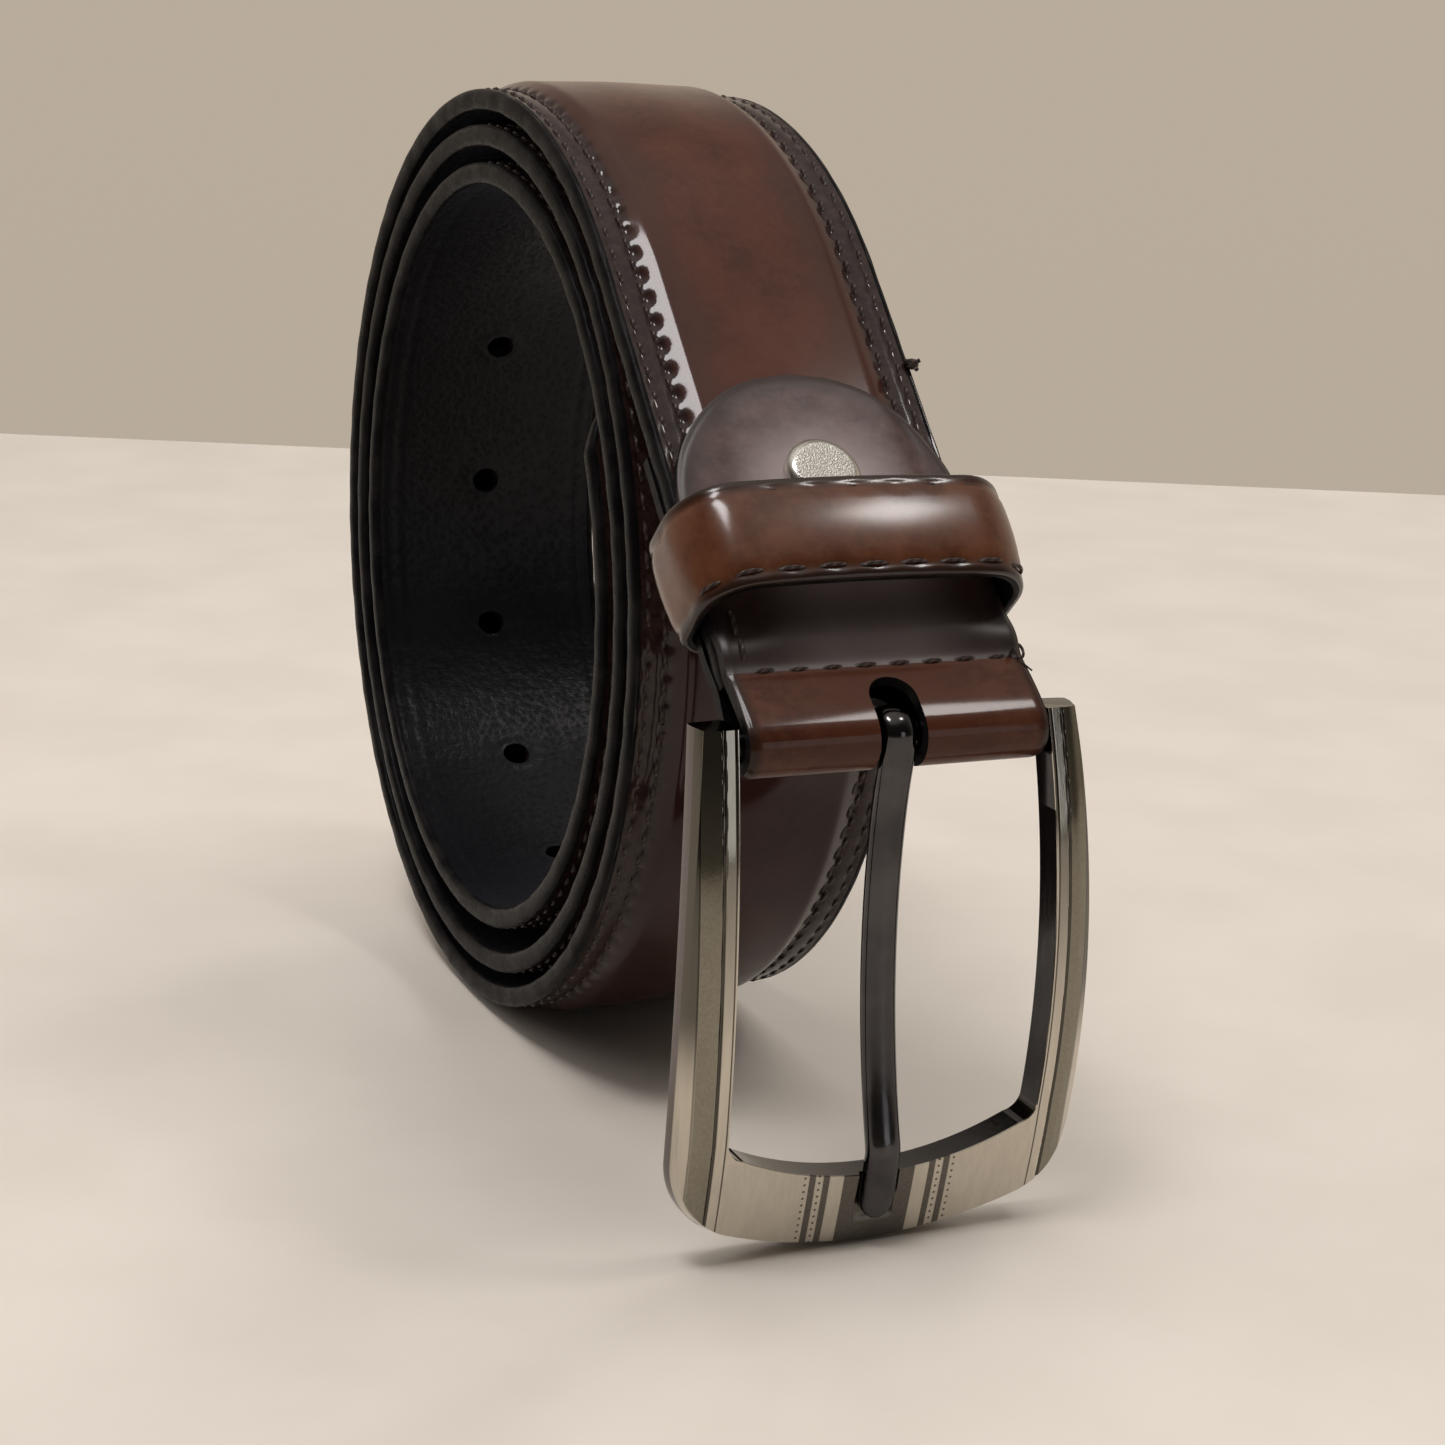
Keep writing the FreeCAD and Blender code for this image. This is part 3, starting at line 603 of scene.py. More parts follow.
def face_relief(s, x):
    """Depth of the face under its crown, with the padded panel, the grooves and the dents."""
    side = np.abs(x)
    ramp = SHOULDER_ROUND * (np.logaddexp(0, (side - SHOULDER_TOP) / SHOULDER_ROUND)
                             - np.logaddexp(0, (side - SHOULDER_FOOT) / SHOULDER_ROUND))
    depth = BORDER_DEPTH * ramp / (SHOULDER_FOOT - SHOULDER_TOP)
    depth = depth - 0.20 * (1 - smooth(side, 0, 10.8))
    depth = depth + 0.42 * dents(s, 0.0, 0.62) * bump(side, 13.2, 0.52)
    depth = depth + 0.12 * bump(side, ROW_INNER, 0.35)
    depth = depth + (0.06 + 0.14 * dents(s, 0.5)) * bump(side, ROW_OUTER, 0.36)
    return depth


def beside(gone):
    """Which corners of a grid lie on the rim of the quads that are gone."""
    touched = np.zeros((gone.shape[0] + 1, gone.shape[1] + 1), bool)
    kept = touched.copy()
    for rows in (slice(None, -1), slice(1, None)):
        for cols in (slice(None, -1), slice(1, None)):
            touched[rows, cols] |= gone
            kept[rows, cols] |= ~gone
    return touched & kept


def cut_holes(s, x):
    """Which quads lie in the prong holes; the corners beside them are pulled to the rims."""
    gone = np.zeros((s.shape[0] - 1, s.shape[1] - 1), bool)
    for centre in HOLE_PLACES:
        gone |= np.hypot(quad_middles(s) - centre, quad_middles(x)) < HOLE_RADIUS
    rim = beside(gone)
    for centre in HOLE_PLACES:
        away = np.hypot(s - centre, x)
        here = rim & (away < 2 * HOLE_RADIUS)
        pull = HOLE_RADIUS / np.maximum(away[here], 0.1)
        s[here] = centre + (s[here] - centre) * pull
        x[here] = x[here] * pull
    return gone


def strap_sheet(shape, stations, columns, depth):
    """One surface of the strap, cut by the prong holes.  depth is a number or a relief function."""
    s = np.repeat(stations[:, None], len(columns), 1)
    x = np.repeat(columns[None], len(stations), 0)
    gone = cut_holes(s, x)
    share = (half_width(stations) / HALF_WIDTH)[:, None]
    points = strap_xyz(s, x * share, depth(s, x) if callable(depth) else depth)
    return shape.grid(points, pairs(s, x), skip=gone), gone


def close_sheet(shape, upper, lower, gone, uv=(0, HALF_WIDTH * MM), mark=0):
    """Walls that join two surfaces at their sides, ends and cut-outs."""
    for column in (0, -1):
        shape.wall(upper[:, column], lower[:, column], uv, mark)
    for row in (0, -1):
        shape.wall(upper[row], lower[row], uv, mark)
    for i, j in zip(*np.nonzero(gone)):
        for (di, dj), a, b in (((-1, 0), (i, j), (i, j + 1)), ((1, 0), (i + 1, j + 1), (i + 1, j)),
                               ((0, -1), (i + 1, j), (i, j)), ((0, 1), (i, j + 1), (i + 1, j + 1))):
            if not gone[i + di, j + dj]:
                shape.wall([upper[a], upper[b]], [lower[a], lower[b]], uv, mark)


MIDDLE_COLUMNS = [0, 0.55, 1.1, 1.6, 2.1, 2.8, 4.0, 5.5, 7.0, 8.5, 9.5]
FACE_COLUMNS = MIDDLE_COLUMNS + [10.1, 10.6, 11.0, 11.4, 11.8, 12.2, 12.5, 12.8, 13.0, 13.2, 13.4, 13.7,
                                 14.0, 14.4, 14.8, 15.2, 15.5, 15.8, 16.1, 16.4, 16.8, 17.1]
LINING_COLUMNS = MIDDLE_COLUMNS + [11.0, 12.4, 13.2, 13.7, 14.2, 15.0, 15.5, 15.8, 16.1, 16.5, 16.9]
LINING_TOP = 2.9


def lining_relief(s, x):
    """Depth of the lining, with its two stitched ridges and its pressed and raised hole rims."""
    side = np.abs(x)
    rise = 0.10 * bump(side, ROW_INNER, 0.3) + 0.10 * bump(side, ROW_OUTER, 0.3)
    for hole in HOLE_PLACES:
        rise = rise - 0.12 * bump(np.hypot(s - hole, x), HOLE_RADIUS + 0.5, 0.5)
        rise = rise + 0.05 * bump(s, hole, 0.5) * bump(side, 5.0, 3.0)
    return THICK - 0.12 * smooth(side, 16.0, 17.0) - rise


def make_layer(stations, columns, relief, level, *piece):
    """A layer of the strap between its relief and a level depth."""
    shape = Shape()
    carved, gone = strap_sheet(shape, stations, both_sides(columns), relief)
    plain, _ = strap_sheet(shape, stations, both_sides(columns), level)
    close_sheet(shape, carved, plain, gone)
    shape.make(*piece)


def make_edges(stations):
    """A bead of paint along each side: its section as places across and depths."""
    bead = np.array([(16.7, 1.16), (17.05, 1.20), (17.32, 1.34), (17.50, 1.60), (17.58, 2.0), (17.60, 2.5),
                     (17.57, 3.0), (17.48, 3.45), (17.28, 3.72), (16.95, 3.86), (16.6, 3.88), (16.5, 2.5)])
    across, depth = bead[None, :, 0], bead[None, :, 1]
    s = stations[:, None]
    wobble = 0.05 * np.sin(s * 0.9) * np.sin(s * 0.23 + 1)
    x = across * half_width(s) / HALF_WIDTH + wobble * (across > 17)
    edge = Shape()
    for side in (-1, 1):
        edge.grid(strap_xyz(s, side * x, depth + 0.5 * wobble), pairs(s, depth), ring=True, caps=True)
    edge.make("edge_paint", [EDGE], "strap", "core_board", ("strap_core",))


def make_strap():
    """The face with its padding, the lining and the painted edges."""
    stations = strap_stations()
    make_layer(stations, FACE_COLUMNS, face_relief, FACE_DEPTH,
               "strap_leather", [FACE], "strap", "face_leather", ("strap_face", "strap_padding"))
    make_layer(stations, LINING_COLUMNS, lining_relief, LINING_TOP,
               "strap_lining_leather", [LINING], "strap", "lining_leather", ("strap_lining",))
    make_edges(stations)


# ---- stitches ----

STITCH_ROWS, STITCH_RING = 7, 8


def stitch_grid(count, length, width, rise, skew):
    """Stitches that dive at their ends: arrays (copy, row, ring) along, across and up, and UV pairs."""
    t = np.linspace(0, 1, STITCH_ROWS)[None, :, None]
    angle = full_turn(STITCH_RING)
    loose = RNG.uniform(-1, 1, (count, 4))[:, None, None, :]
    arch = np.sin(math.pi * t) ** 0.7
    thick = width / 2 * (0.62 + 0.38 * arch) * (1 + 0.08 * loose[..., 0])
    along = (t - 0.5) * length * (1 + 0.05 * loose[..., 1])
    across = thick * np.cos(angle) + skew * (2 * t - 1) + 0.05 * loose[..., 2]
    up = (rise + 0.06 * loose[..., 3]) * arch - 0.45 * (1 - arch) + thick * np.sin(angle) * 0.9
    along, across, up = spread(along, across, up)
    return along, across, up, pairs(along, angle / (2 * math.pi) * width * 3)


def tube(shape, path, radius):
    """A round thread along a path of points."""
    ahead = unit(np.gradient(path, axis=0))
    side = unit(np.cross(ahead, (0.31, 0.52, 0.79)))
    other = np.cross(ahead, side)
    angle = full_turn(STITCH_RING)[None, :, None]
    points = path[:, None] + radius * (np.cos(angle) * side[:, None] + np.sin(angle) * other[:, None])
    shape.grid(points, pairs(lengths(path)[:, None], angle[..., 0] * radius), ring=True, caps=True)


def loose_end(shape, start, lean, radius):
    """A short straight end of thread."""
    tube(shape, start + np.linspace(0, 1, 8)[:, None] * np.array(lean), radius)


KNOT_PLACE = 41.0


def add_knot(shape):
    """The small knot where the outer right thread was tied off."""
    middle = strap_xyz(KNOT_PLACE, HALF_WIDTH - 0.35, 0.9) + np.array((0.3, 0, 0.15))
    t = np.linspace(0, 2 * math.pi, 60)[:, None]
    turns = np.concatenate([np.sin(t) + 2 * np.sin(2 * t), np.cos(t) - 2 * np.cos(2 * t), -np.sin(3 * t)], 1)
    tube(shape, middle + 0.21 * turns, 0.42)
    for lean in ((0.9, -0.4, 0.5), (0.9, 0.2, -0.7)):
        loose_end(shape, middle, lean, 0.26)


def make_strap_stitches():
    """Two rows of stitches along each side, with a knot in one of them."""
    rows = (("left_outer", -1, ROW_OUTER, 0.5), ("left_inner", -1, ROW_INNER, 0.0),
            ("right_inner", 1, ROW_INNER, 0.0), ("right_outer", 1, ROW_OUTER, 0.5))
    for name, side, row, phase in rows:
        centres = np.arange(STITCH_PITCH * (1.5 + phase), STRAP_LENGTH - TIP_LENGTH, STITCH_PITCH)
        along, across, up, uv = stitch_grid(len(centres), 2.9, 0.52, 0.09, 0.12 * side)
        s = centres[:, None, None] + along
        shape = Shape()
        shape.many(strap_xyz(s, side * row + across, BORDER_DEPTH + 0.08 - up), uv)
        if name == "right_outer":
            add_knot(shape)
        shape.make(f"thread_{name}", [THREAD], "strap", "thread", (f"stitch_{name}",))


# ---- chape ----

TAB_START, TAB_RADIUS, CHAPE_THICK, CHAPE_BACK, CHAPE_HALF = 28.3, 17.3, 1.5, 38.0, 17.75
FOLD = HALF_THICK + CHAPE_THICK
SLOT_HALF, SLOT_TOP = 2.8, 5.6
STITCH_UP, VALLEY_REACH, VALLEY_DEEP, SEAM_DEEP, BACK_DEEP = 7.4, 2.6, 0.98, 0.95, 0.7


def chape_line():
    """The strip from the tab's tip, down the front, round the bar and up the back.

    Each row is (u, n, outward u, outward n, place) on the outer face.  The place along the strip is 0
    beside the bar in front, and above 0 higher up there."""
    front = np.concatenate([np.linspace(TAB_START + TAB_RADIUS, 12, 60), np.linspace(11.4, 0, 34)])
    sag = np.where(front < STITCH_UP, np.clip(front / STITCH_UP, 0, 1) ** 1.7,
                   bump(front, STITCH_UP, VALLEY_REACH))
    height = FOLD + 0.12 * bump(front, 0, 5) - VALLEY_DEEP * sag
    height = np.convolve(np.pad(height, 2, "edge"), np.ones(5) / 5, "valid")
    slope = np.gradient(height, front)
    steep = np.hypot(1, slope)
    rows = [(u, n, -k / m, 1 / m, u) for u, n, k, m in zip(front, height, slope, steep)]
    radius = height[-1]
    for angle in np.linspace(0, math.pi, 26)[1:-1]:
        rows.append((-radius * math.sin(angle), radius * math.cos(angle),
                     -math.sin(angle), math.cos(angle), -radius * angle))
    back = np.linspace(0, CHAPE_BACK, 30)
    depth = FOLD - BACK_DEEP * bump(back, STITCH_UP, VALLEY_REACH)
    rows += [(u, -n, 0.0, -1.0, -radius * math.pi - u) for u, n in zip(back, depth)]
    return np.array(rows)


def tab_half(u):
    """Half the width of the chape's front: round at the top and a little waisted below."""
    past = np.clip(u - TAB_START, 0, TAB_RADIUS - 1e-3)
    round_top = TAB_RADIUS * np.sqrt(1 - (past / TAB_RADIUS) ** 2)
    return round_top + (CHAPE_HALF - TAB_RADIUS) * smooth(u, 30, 10)


def cut_slot(x, along, length):
    """Which quads lie in the prong's slot; the corners beside it are pulled to its rim."""
    front, back = SLOT_TOP - SLOT_HALF, -length - SLOT_TOP + SLOT_HALF
    middle = np.clip(along, back, front)
    beyond = quad_middles(along)
    gone = np.hypot(quad_middles(x), beyond - np.clip(beyond, back, front)) < SLOT_HALF
    rim = beside(gone)
    pull = SLOT_HALF / np.maximum(np.hypot(x, along - middle), 0.1)
    x[rim] = (x * pull)[rim]
    along[rim] = (middle + (along - middle) * pull)[rim]
    return gone


def chape_sink(x, u, rim, front):
    """How far the chape's outer face lies under its line: drooping sides, a pressed ring, a thin rim."""
    droop = 1.05 * smooth(np.abs(x), 9.0, 16.8) * smooth(u, 9, 14)
    crease = 0.12 * bump(np.hypot(x + 8, u - 33), 21.0, 0.6) * (x > 0) * (u > 26)
    return (droop + crease) * front + 0.35 * (1 - smooth(rim, 0, 1.1)) ** 2


def make_chape():
    """One strip, cut by the prong's slot, that is folded round the bar."""
    line = chape_line()
    length = math.pi * line[np.argmin(np.abs(line[:, 4])), 1]
    share = both_sides([0, 0.03, 0.06, 0.085, 0.11, 0.135, 0.16, 0.185, 0.22, 0.26, 0.31, 0.38, 0.46, 0.54,
                        0.61, 0.67, 0.72, 0.77, 0.81, 0.85, 0.885, 0.915, 0.94, 0.96, 0.978, 0.99, 1.0])
    along = line[:, 4:]
    half = np.where(along > 0, tab_half(np.maximum(along, 0)), CHAPE_HALF)
    x = share[None] * half
    along, half = along + 0 * x, half + 0 * x
    gone = cut_slot(x, along, length)
    u, n, out_u, out_n = (np.interp(along, line[::-1, 4], line[::-1, k]) for k in range(4))
    front = along > 0
    round_rim = TAB_RADIUS - np.hypot(x, np.maximum(u - TAB_START, 0))
    rim = np.where(front & (u > TAB_START), np.minimum(half - np.abs(x), round_rim), half - np.abs(x))
    sink = chape_sink(x, u, rim, front)
    uv = pairs(along, np.maximum(rim, 0))
    stretched = (line[:-1, 4:] < STITCH_UP).astype(int)
    shape = Shape()
    surfaces = []
    for deep, mark in ((sink, stretched), (sink * 0.9 + CHAPE_THICK - 0.12, 2)):
        points = run_xyz(x, u - out_u * deep, n - out_n * deep)
        surfaces.append(shape.grid(points, uv, skip=gone, mark=mark))
    close_sheet(shape, *surfaces, gone, (10 * MM, 0.0), 2)
    shape.make("chape_strip", [CHAPE, FOLD_LEATHER, EDGE], "strap", "chape_leather", ("chape",), sharp=50)


def make_chape_stitches():
    """The row across the chape, two stitches up its left side, and a loop with two loose ends."""
    pitch, half = 4.0, 15.6
    centres = np.arange(-half + pitch / 2, half, pitch)
    along, across, up, uv = stitch_grid(len(centres), 3.5, 0.56, 0.14, 0.06)
    shape = Shape()
    shape.many(run_xyz(centres[:, None, None] + along, STITCH_UP + across, FOLD - SEAM_DEEP + up), uv)
    legs = np.array([STITCH_UP + 2.4, STITCH_UP + 6.0])
    along, across, up, uv = stitch_grid(len(legs), 3.3, 0.56, 0.14, 0.06)
    height = legs[:, None, None] + along
    lift = FOLD - SEAM_DEEP * bump(height, STITCH_UP, VALLEY_REACH) - 0.55 * smooth(height, 9, 14)
    shape.many(run_xyz(-half + across, height, lift + up), uv)
    t = np.linspace(0, 2 * math.pi, 40)[:, None]
    loop = np.concatenate([0.75 * np.sin(t), 0.3 * np.sin(2 * t), 0.8 * np.cos(t)], 1)
    tube(shape, run_xyz(half + 1.2, STITCH_UP + 0.2, FOLD - 0.4) + loop, 0.17)
    for lean in ((1.5, -0.6, -1.2), (0.9, -0.9, -2.0)):
        loose_end(shape, run_xyz(half + 1.2, STITCH_UP - 0.6, FOLD - 0.7), lean, 0.10)
    shape.make("chape_thread", [THREAD], "strap", "thread", ("chape_stitch",))


# ---- rivet ----

RIVET_UP, RIVET_RISE = 31.5, 1.3


def make_rivet_part(name, node, profile):
    """A ring of (radius, n) places turned about the rivet's axis."""
    radius, n = np.array(profile).T[:, None]
    angle = full_turn(72)[:, None]
    points = run_xyz(radius * np.cos(angle), RIVET_UP + radius * np.sin(angle), n + 0 * angle)
    shape = Shape()
    shape.grid(points, pairs(radius, 0 * angle), ring=True, loop=True)
    shape.make(name, [SILVER], "strap", "rivet_metal", (node,), sharp=25)


def make_rivet():
    """Its flat head with the shank, and the part that closes it behind the strap."""
    top = FOLD + RIVET_RISE
    make_rivet_part("rivet_cap", "rivet_head", [
        (0.02, top), (1.2, top), (2.4, top), (3.2, top - 0.01), (3.62, top - 0.04), (3.78, top - 0.10),
        (4.20, top - 0.42), (4.36, top - 0.60), (4.42, top - 0.80), (4.42, FOLD - 0.1), (4.30, FOLD - 0.25),
        (1.7, FOLD - 0.3), (1.55, FOLD - 0.4), (1.55, -FOLD + 0.3), (0.02, -FOLD + 0.3)])
    make_rivet_part("rivet_base", "rivet_back", [
        (0.02, -FOLD - 0.62), (1.6, -FOLD - 0.60), (2.8, -FOLD - 0.52), (3.4, -FOLD - 0.36),
        (3.55, -FOLD - 0.15), (3.5, -FOLD + 0.05), (0.8, -FOLD + 0.1), (0.7, FOLD - 0.6),
        (0.02, FOLD - 0.6)])


# ---- keeper ----

KEEPER_UP, KEEPER_WIDE, KEEPER_ROW, KEEPER_PITCH = 20.7, 12.5, 4.9, 4.8
KEEPER_HALF, KEEPER_FRONT, KEEPER_REAR, KEEPER_CORNER, KEEPER_BACK_CORNER = 20.0, 9.6, 5.9, 6.2, 4.6
KEEPER_FACE, KEEPER_CROWN = 0.9, 0.95


def keeper_loop():
    """Points and outward directions round the keeper, in the (x, n) plane, and lengths along it."""
    corners = []
    for number, (side, face, radius) in enumerate((
            (1, KEEPER_FRONT, KEEPER_CORNER), (-1, KEEPER_FRONT, KEEPER_CORNER),
            (-1, -KEEPER_REAR, KEEPER_BACK_CORNER), (1, -KEEPER_REAR, KEEPER_BACK_CORNER))):
        centre = np.array((side * (KEEPER_HALF - radius), face - math.copysign(radius, face)))
        angle = np.linspace(0, math.pi / 2, 12)[:, None] + number * math.pi / 2
        corners.append(centre + radius * np.concatenate([np.cos(angle), np.sin(angle)], 1))
    spots = []
    for number, steps in enumerate((34, 8, 34, 8)):
        start, end = corners[number][-1], corners[(number + 1) % 4][0]
        spots += [corners[number], start + (end - start) * np.linspace(0, 1, steps)[1:-1, None]]
    spots = np.vstack(spots)
    spots[:, 1] -= KEEPER_CROWN * smooth(spots[:, 1], -1, 3) * (spots[:, 0] / KEEPER_HALF) ** 2
    ahead = np.roll(spots, -1, 0) - np.roll(spots, 1, 0)
    return spots, unit(np.stack([ahead[:, 1], -ahead[:, 0]], -1)), lengths(spots)


def make_keeper_part(name, node, material, section):
    """The keeper's leather or lining: a section of (u, lift) places carried round its loop."""
    spots, normal, along = keeper_loop()
    u, lift = section.T[:, None]
    half = KEEPER_WIDE / 2
    pinch = 0.16 * (0.5 + 0.5 * np.cos(2 * math.pi * along / KEEPER_PITCH)) ** 2
    lift = lift - pinch[:, None] * bump(np.abs(u), KEEPER_ROW, 0.6) * (lift > -0.5)
    rim = np.where(section[:, 1] > -0.5, half - np.abs(section[:, 0]), 0)
    shape = Shape()
    points = run_xyz(spots[:, :1] + normal[:, :1] * lift, KEEPER_UP + u, spots[:, 1:] + normal[:, 1:] * lift)
    shape.grid(points, pairs(along[:, None], rim[None]), ring=True, loop=True)
    shape.make(name, [material], "keeper", "keeper_leather", (node,), sharp=60)


def make_keeper():
    """The domed leather band, and its lining."""
    half, row, skin = KEEPER_WIDE / 2, KEEPER_ROW, -KEEPER_FACE
    across = both_sides([0, 1.6, 3.0, 3.9, row - 0.45, row, row + 0.45,
                         half - 0.7, half - 0.3, half - 0.08, half])
    dome = 0.80 * (1 - ((across - 1.8) / 7.6) ** 2) - 0.08 * bump(np.abs(across), row, 0.40) - 0.25
    drop = np.interp(np.abs(across), (half - 0.7, half - 0.3, half - 0.08, half), (0, 0.01, 0.08, 0.22))
    band = np.concatenate([np.stack([across, dome - drop], -1), [(half, skin), (0, skin), (-half, skin)]])
    inside = np.array([(-half + 0.05, skin), (half - 0.05, skin), (half + 0.06, skin - 0.35),
                       (half - 0.05, -1.55), (0, -1.6), (-half + 0.05, -1.55), (-half - 0.06, skin - 0.35)])
    make_keeper_part("keeper_band", "keeper_face", KEEPER, band)
    make_keeper_part("keeper_inside", "keeper_lining", EDGE, inside)


def make_keeper_stitches():
    """A row of stitches beside each rim of the keeper's front."""
    spots, normal, _ = keeper_loop()
    front = spots[:, 1] > 4.0
    order = np.argsort(spots[front, 0])
    line, lean = spots[front][order], normal[front][order]
    reach = lengths(line)
    for side, name in ((1, "upper"), (-1, "lower")):
        centres = np.arange(2.0, reach[-1], KEEPER_PITCH)
        along, across, up, uv = stitch_grid(len(centres), 3.9, 0.44, 0.06, 0.05)
        where = centres[:, None, None] + along
        x, n = (np.interp(where, reach, line[:, k]) + np.interp(where, reach, lean[:, k]) * (up + 0.02)
                for k in (0, 1))
        shape = Shape()
        shape.many(run_xyz(x, KEEPER_UP + side * KEEPER_ROW + across, n), uv)
        shape.make(f"keeper_thread_{name}", [THREAD], "keeper", "thread", (f"keeper_stitch_{name}",))


def make_staple():
    """A flat wire staple that closes the keeper at the back."""
    half, wire = 5.0, 0.45
    x = np.linspace(-half, half, 24)[:, None]
    ends = smooth(half - np.abs(x), 0, 1.1)
    angle = full_turn(12)[None]
    u = KEEPER_UP + wire * np.cos(angle) + 0 * x
    n = 0.17 - KEEPER_REAR - 0.70 * ends + wire * 0.7 * np.sin(angle)
    shape = Shape()
    shape.grid(run_xyz(x, u, n), pairs(x, 0 * u), ring=True, caps=True)
    shape.make("staple_wire", [SILVER], "keeper", "rivet_metal", ("keeper_staple",))


# ---- buckle ----

FRAME_DEEP, FRAME_BOW, FRAME_CROWN, FRAME_FRONT = 4.2, 110.0, 28.0, 5.7
ARM_TOP, ARM_TOP_HALF, ARM_LOW_HALF, ARM_LOW, SIDE_RADIUS = 2.2, 22.7, 24.7, 45.0, 330.0
CORNER_HALF, CORNER_LOW, CORNER_RADIUS = 18.6, 54.6, 10.8
WINDOW_TOP_HALF, WINDOW_LOW_HALF, WINDOW_LOW, WINDOW_SIDE = 18.4, 18.9, 42.6, 560.0
INNER_CORNER_HALF, INNER_CORNER_LOW, INNER_CORNER, INNER_BOTTOM = 16.9, 45.0, 2.4, 38.2
NOTCH_HALF, NOTCH_RUN = 2.3, 9.0
PRONG_HALF, PRONG_EYE, PRONG_HOLE, PRONG_THICK, PRONG_LOW, PRONG_BEND = 2.0, 3.3, 1.85, 2.2, 54.4, 46.0
PRONG_REST, PRONG_TIP_REST, PRONG_BOW = 3.2, 2.1, 95.0


def bow(h):
    """How far behind the bar the frame's front lies at a height above the bar."""
    return FRAME_BOW - FRAME_FRONT - np.sqrt(FRAME_BOW ** 2 - (h + FRAME_CROWN) ** 2)


def arc(first, last, radius, step=0.35):
    """Points from first on towards last, without it, on an arc that turns left where radius is positive."""
    first, last = np.asarray(first, float), np.asarray(last, float)
    chord = last - first
    length = np.linalg.norm(chord)
    side = np.array((-chord[1], chord[0])) / length
    centre = (first + last) / 2 + side * math.copysign(math.sqrt(radius ** 2 - length ** 2 / 4), radius)
    start = math.atan2(*(first - centre)[::-1])
    sweep = 2 * math.asin(length / 2 / abs(radius)) * (1 if radius > 0 else -1)
    count = max(3, int(abs(sweep * radius) / step))
    angles = start + sweep * np.arange(count) / count
    return centre + abs(radius) * np.stack([np.cos(angles), np.sin(angles)], -1)


def resample(line, count):
    """Points at even lengths along a line."""
    reach = lengths(line)
    want = np.linspace(0, reach[-1], count)
    return np.stack([np.interp(want, reach, line[:, k]) for k in (0, 1)], -1)


def half_outlines():
    """The outer and the inner outline of the frame's left half, from the arm's top to the middle."""
    sag = BAR[2] - CORNER_LOW
    bottom = (CORNER_HALF ** 2 + sag ** 2) / (2 * sag)
    arm_low, corner_low = (-ARM_LOW_HALF, -ARM_LOW), (-CORNER_HALF, -CORNER_LOW)
    outer = (arc((-ARM_TOP_HALF, ARM_TOP), arm_low, SIDE_RADIUS), arc(arm_low, corner_low, CORNER_RADIUS),
             np.vstack([arc(corner_low, (0, -BAR[2]), bottom), [(0, -BAR[2])]]))
    top, low = (-WINDOW_TOP_HALF, ARM_TOP), (-WINDOW_LOW_HALF, -WINDOW_LOW)
    foot = np.array((-INNER_CORNER_HALF, -INNER_CORNER_LOW))
    span = arc(foot * (-1, 1), foot, -INNER_BOTTOM)
    middle_low = math.sqrt(INNER_BOTTOM ** 2 - INNER_CORNER_HALF ** 2) - INNER_BOTTOM - INNER_CORNER_LOW
    inner = (np.vstack([[top], arc(low, top, -WINDOW_SIDE)[::-1]]), arc(foot, low, -INNER_CORNER)[::-1],
             np.vstack([span[span[:, 0] < 0][::-1], [(0, middle_low)]]))
    lines = []
    for arm, corner, last in (outer, inner):
        corner = np.vstack([arm[-1:], corner, last[:1]])
        lines.append(np.vstack([resample(arm, 130)[:-1], resample(corner, 64)[:-1], resample(last, 84)]))
    return lines


def straightened(x, h):
    """The place across the frame, with the window's edge moved to the same distance all the way down."""
    top, low = WINDOW_TOP_HALF, WINDOW_LOW_HALF
    share = np.clip((ARM_TOP - h) / (ARM_TOP + WINDOW_LOW), 0, 1)
    edge = top + (low - top) * share + 4 * share * (1 - share) * 0.45
    side = np.abs(x)
    return np.sign(x) * np.where(side < edge, side * WINDOW_HALF / edge, WINDOW_HALF + side - edge)


def frame_relief(x, h):
    """How far the front is cut back for the arms' facets."""
    out = np.abs(straightened(x, h)) - WINDOW_HALF
    back = 0.20 * smooth(out, LAND - 0.05, LAND + 0.15) - 0.12 * smooth(out, GROOVE - 0.15, GROOVE)
    back = back + np.clip(out - GROOVE, 0, None) * 0.30 + np.clip(out - FACET, 0, None) * 0.35
    back = back + 0.05 * bump(out, 0.33, 0.09) - 0.10 * bump(out, (GROOVE + FACET) / 2, 0.75)
    return back


def frame_front(x, h):
    """How far behind the bar the frame's front lies, with a notch where the prong's tip rests."""
    y = bow(h) + frame_relief(x, h)
    y[:, 0] += 0.12
    floor = 0.1 - PRONG_REST - (h + PRONG_BEND) * (PRONG_REST - PRONG_TIP_REST) / NOTCH_RUN
    inside = (1 - smooth(np.abs(x), NOTCH_HALF - 0.12, NOTCH_HALF + 0.12)) * (1 - smooth(-h, 54.2, 55.2))
    return y + np.clip(floor - y, 0, 2.5) * np.where(h < -PRONG_BEND + 1, inside, 0)


def frame_back(h):
    """How far behind the bar the frame's back lies."""
    return bow(h) + FRAME_DEEP


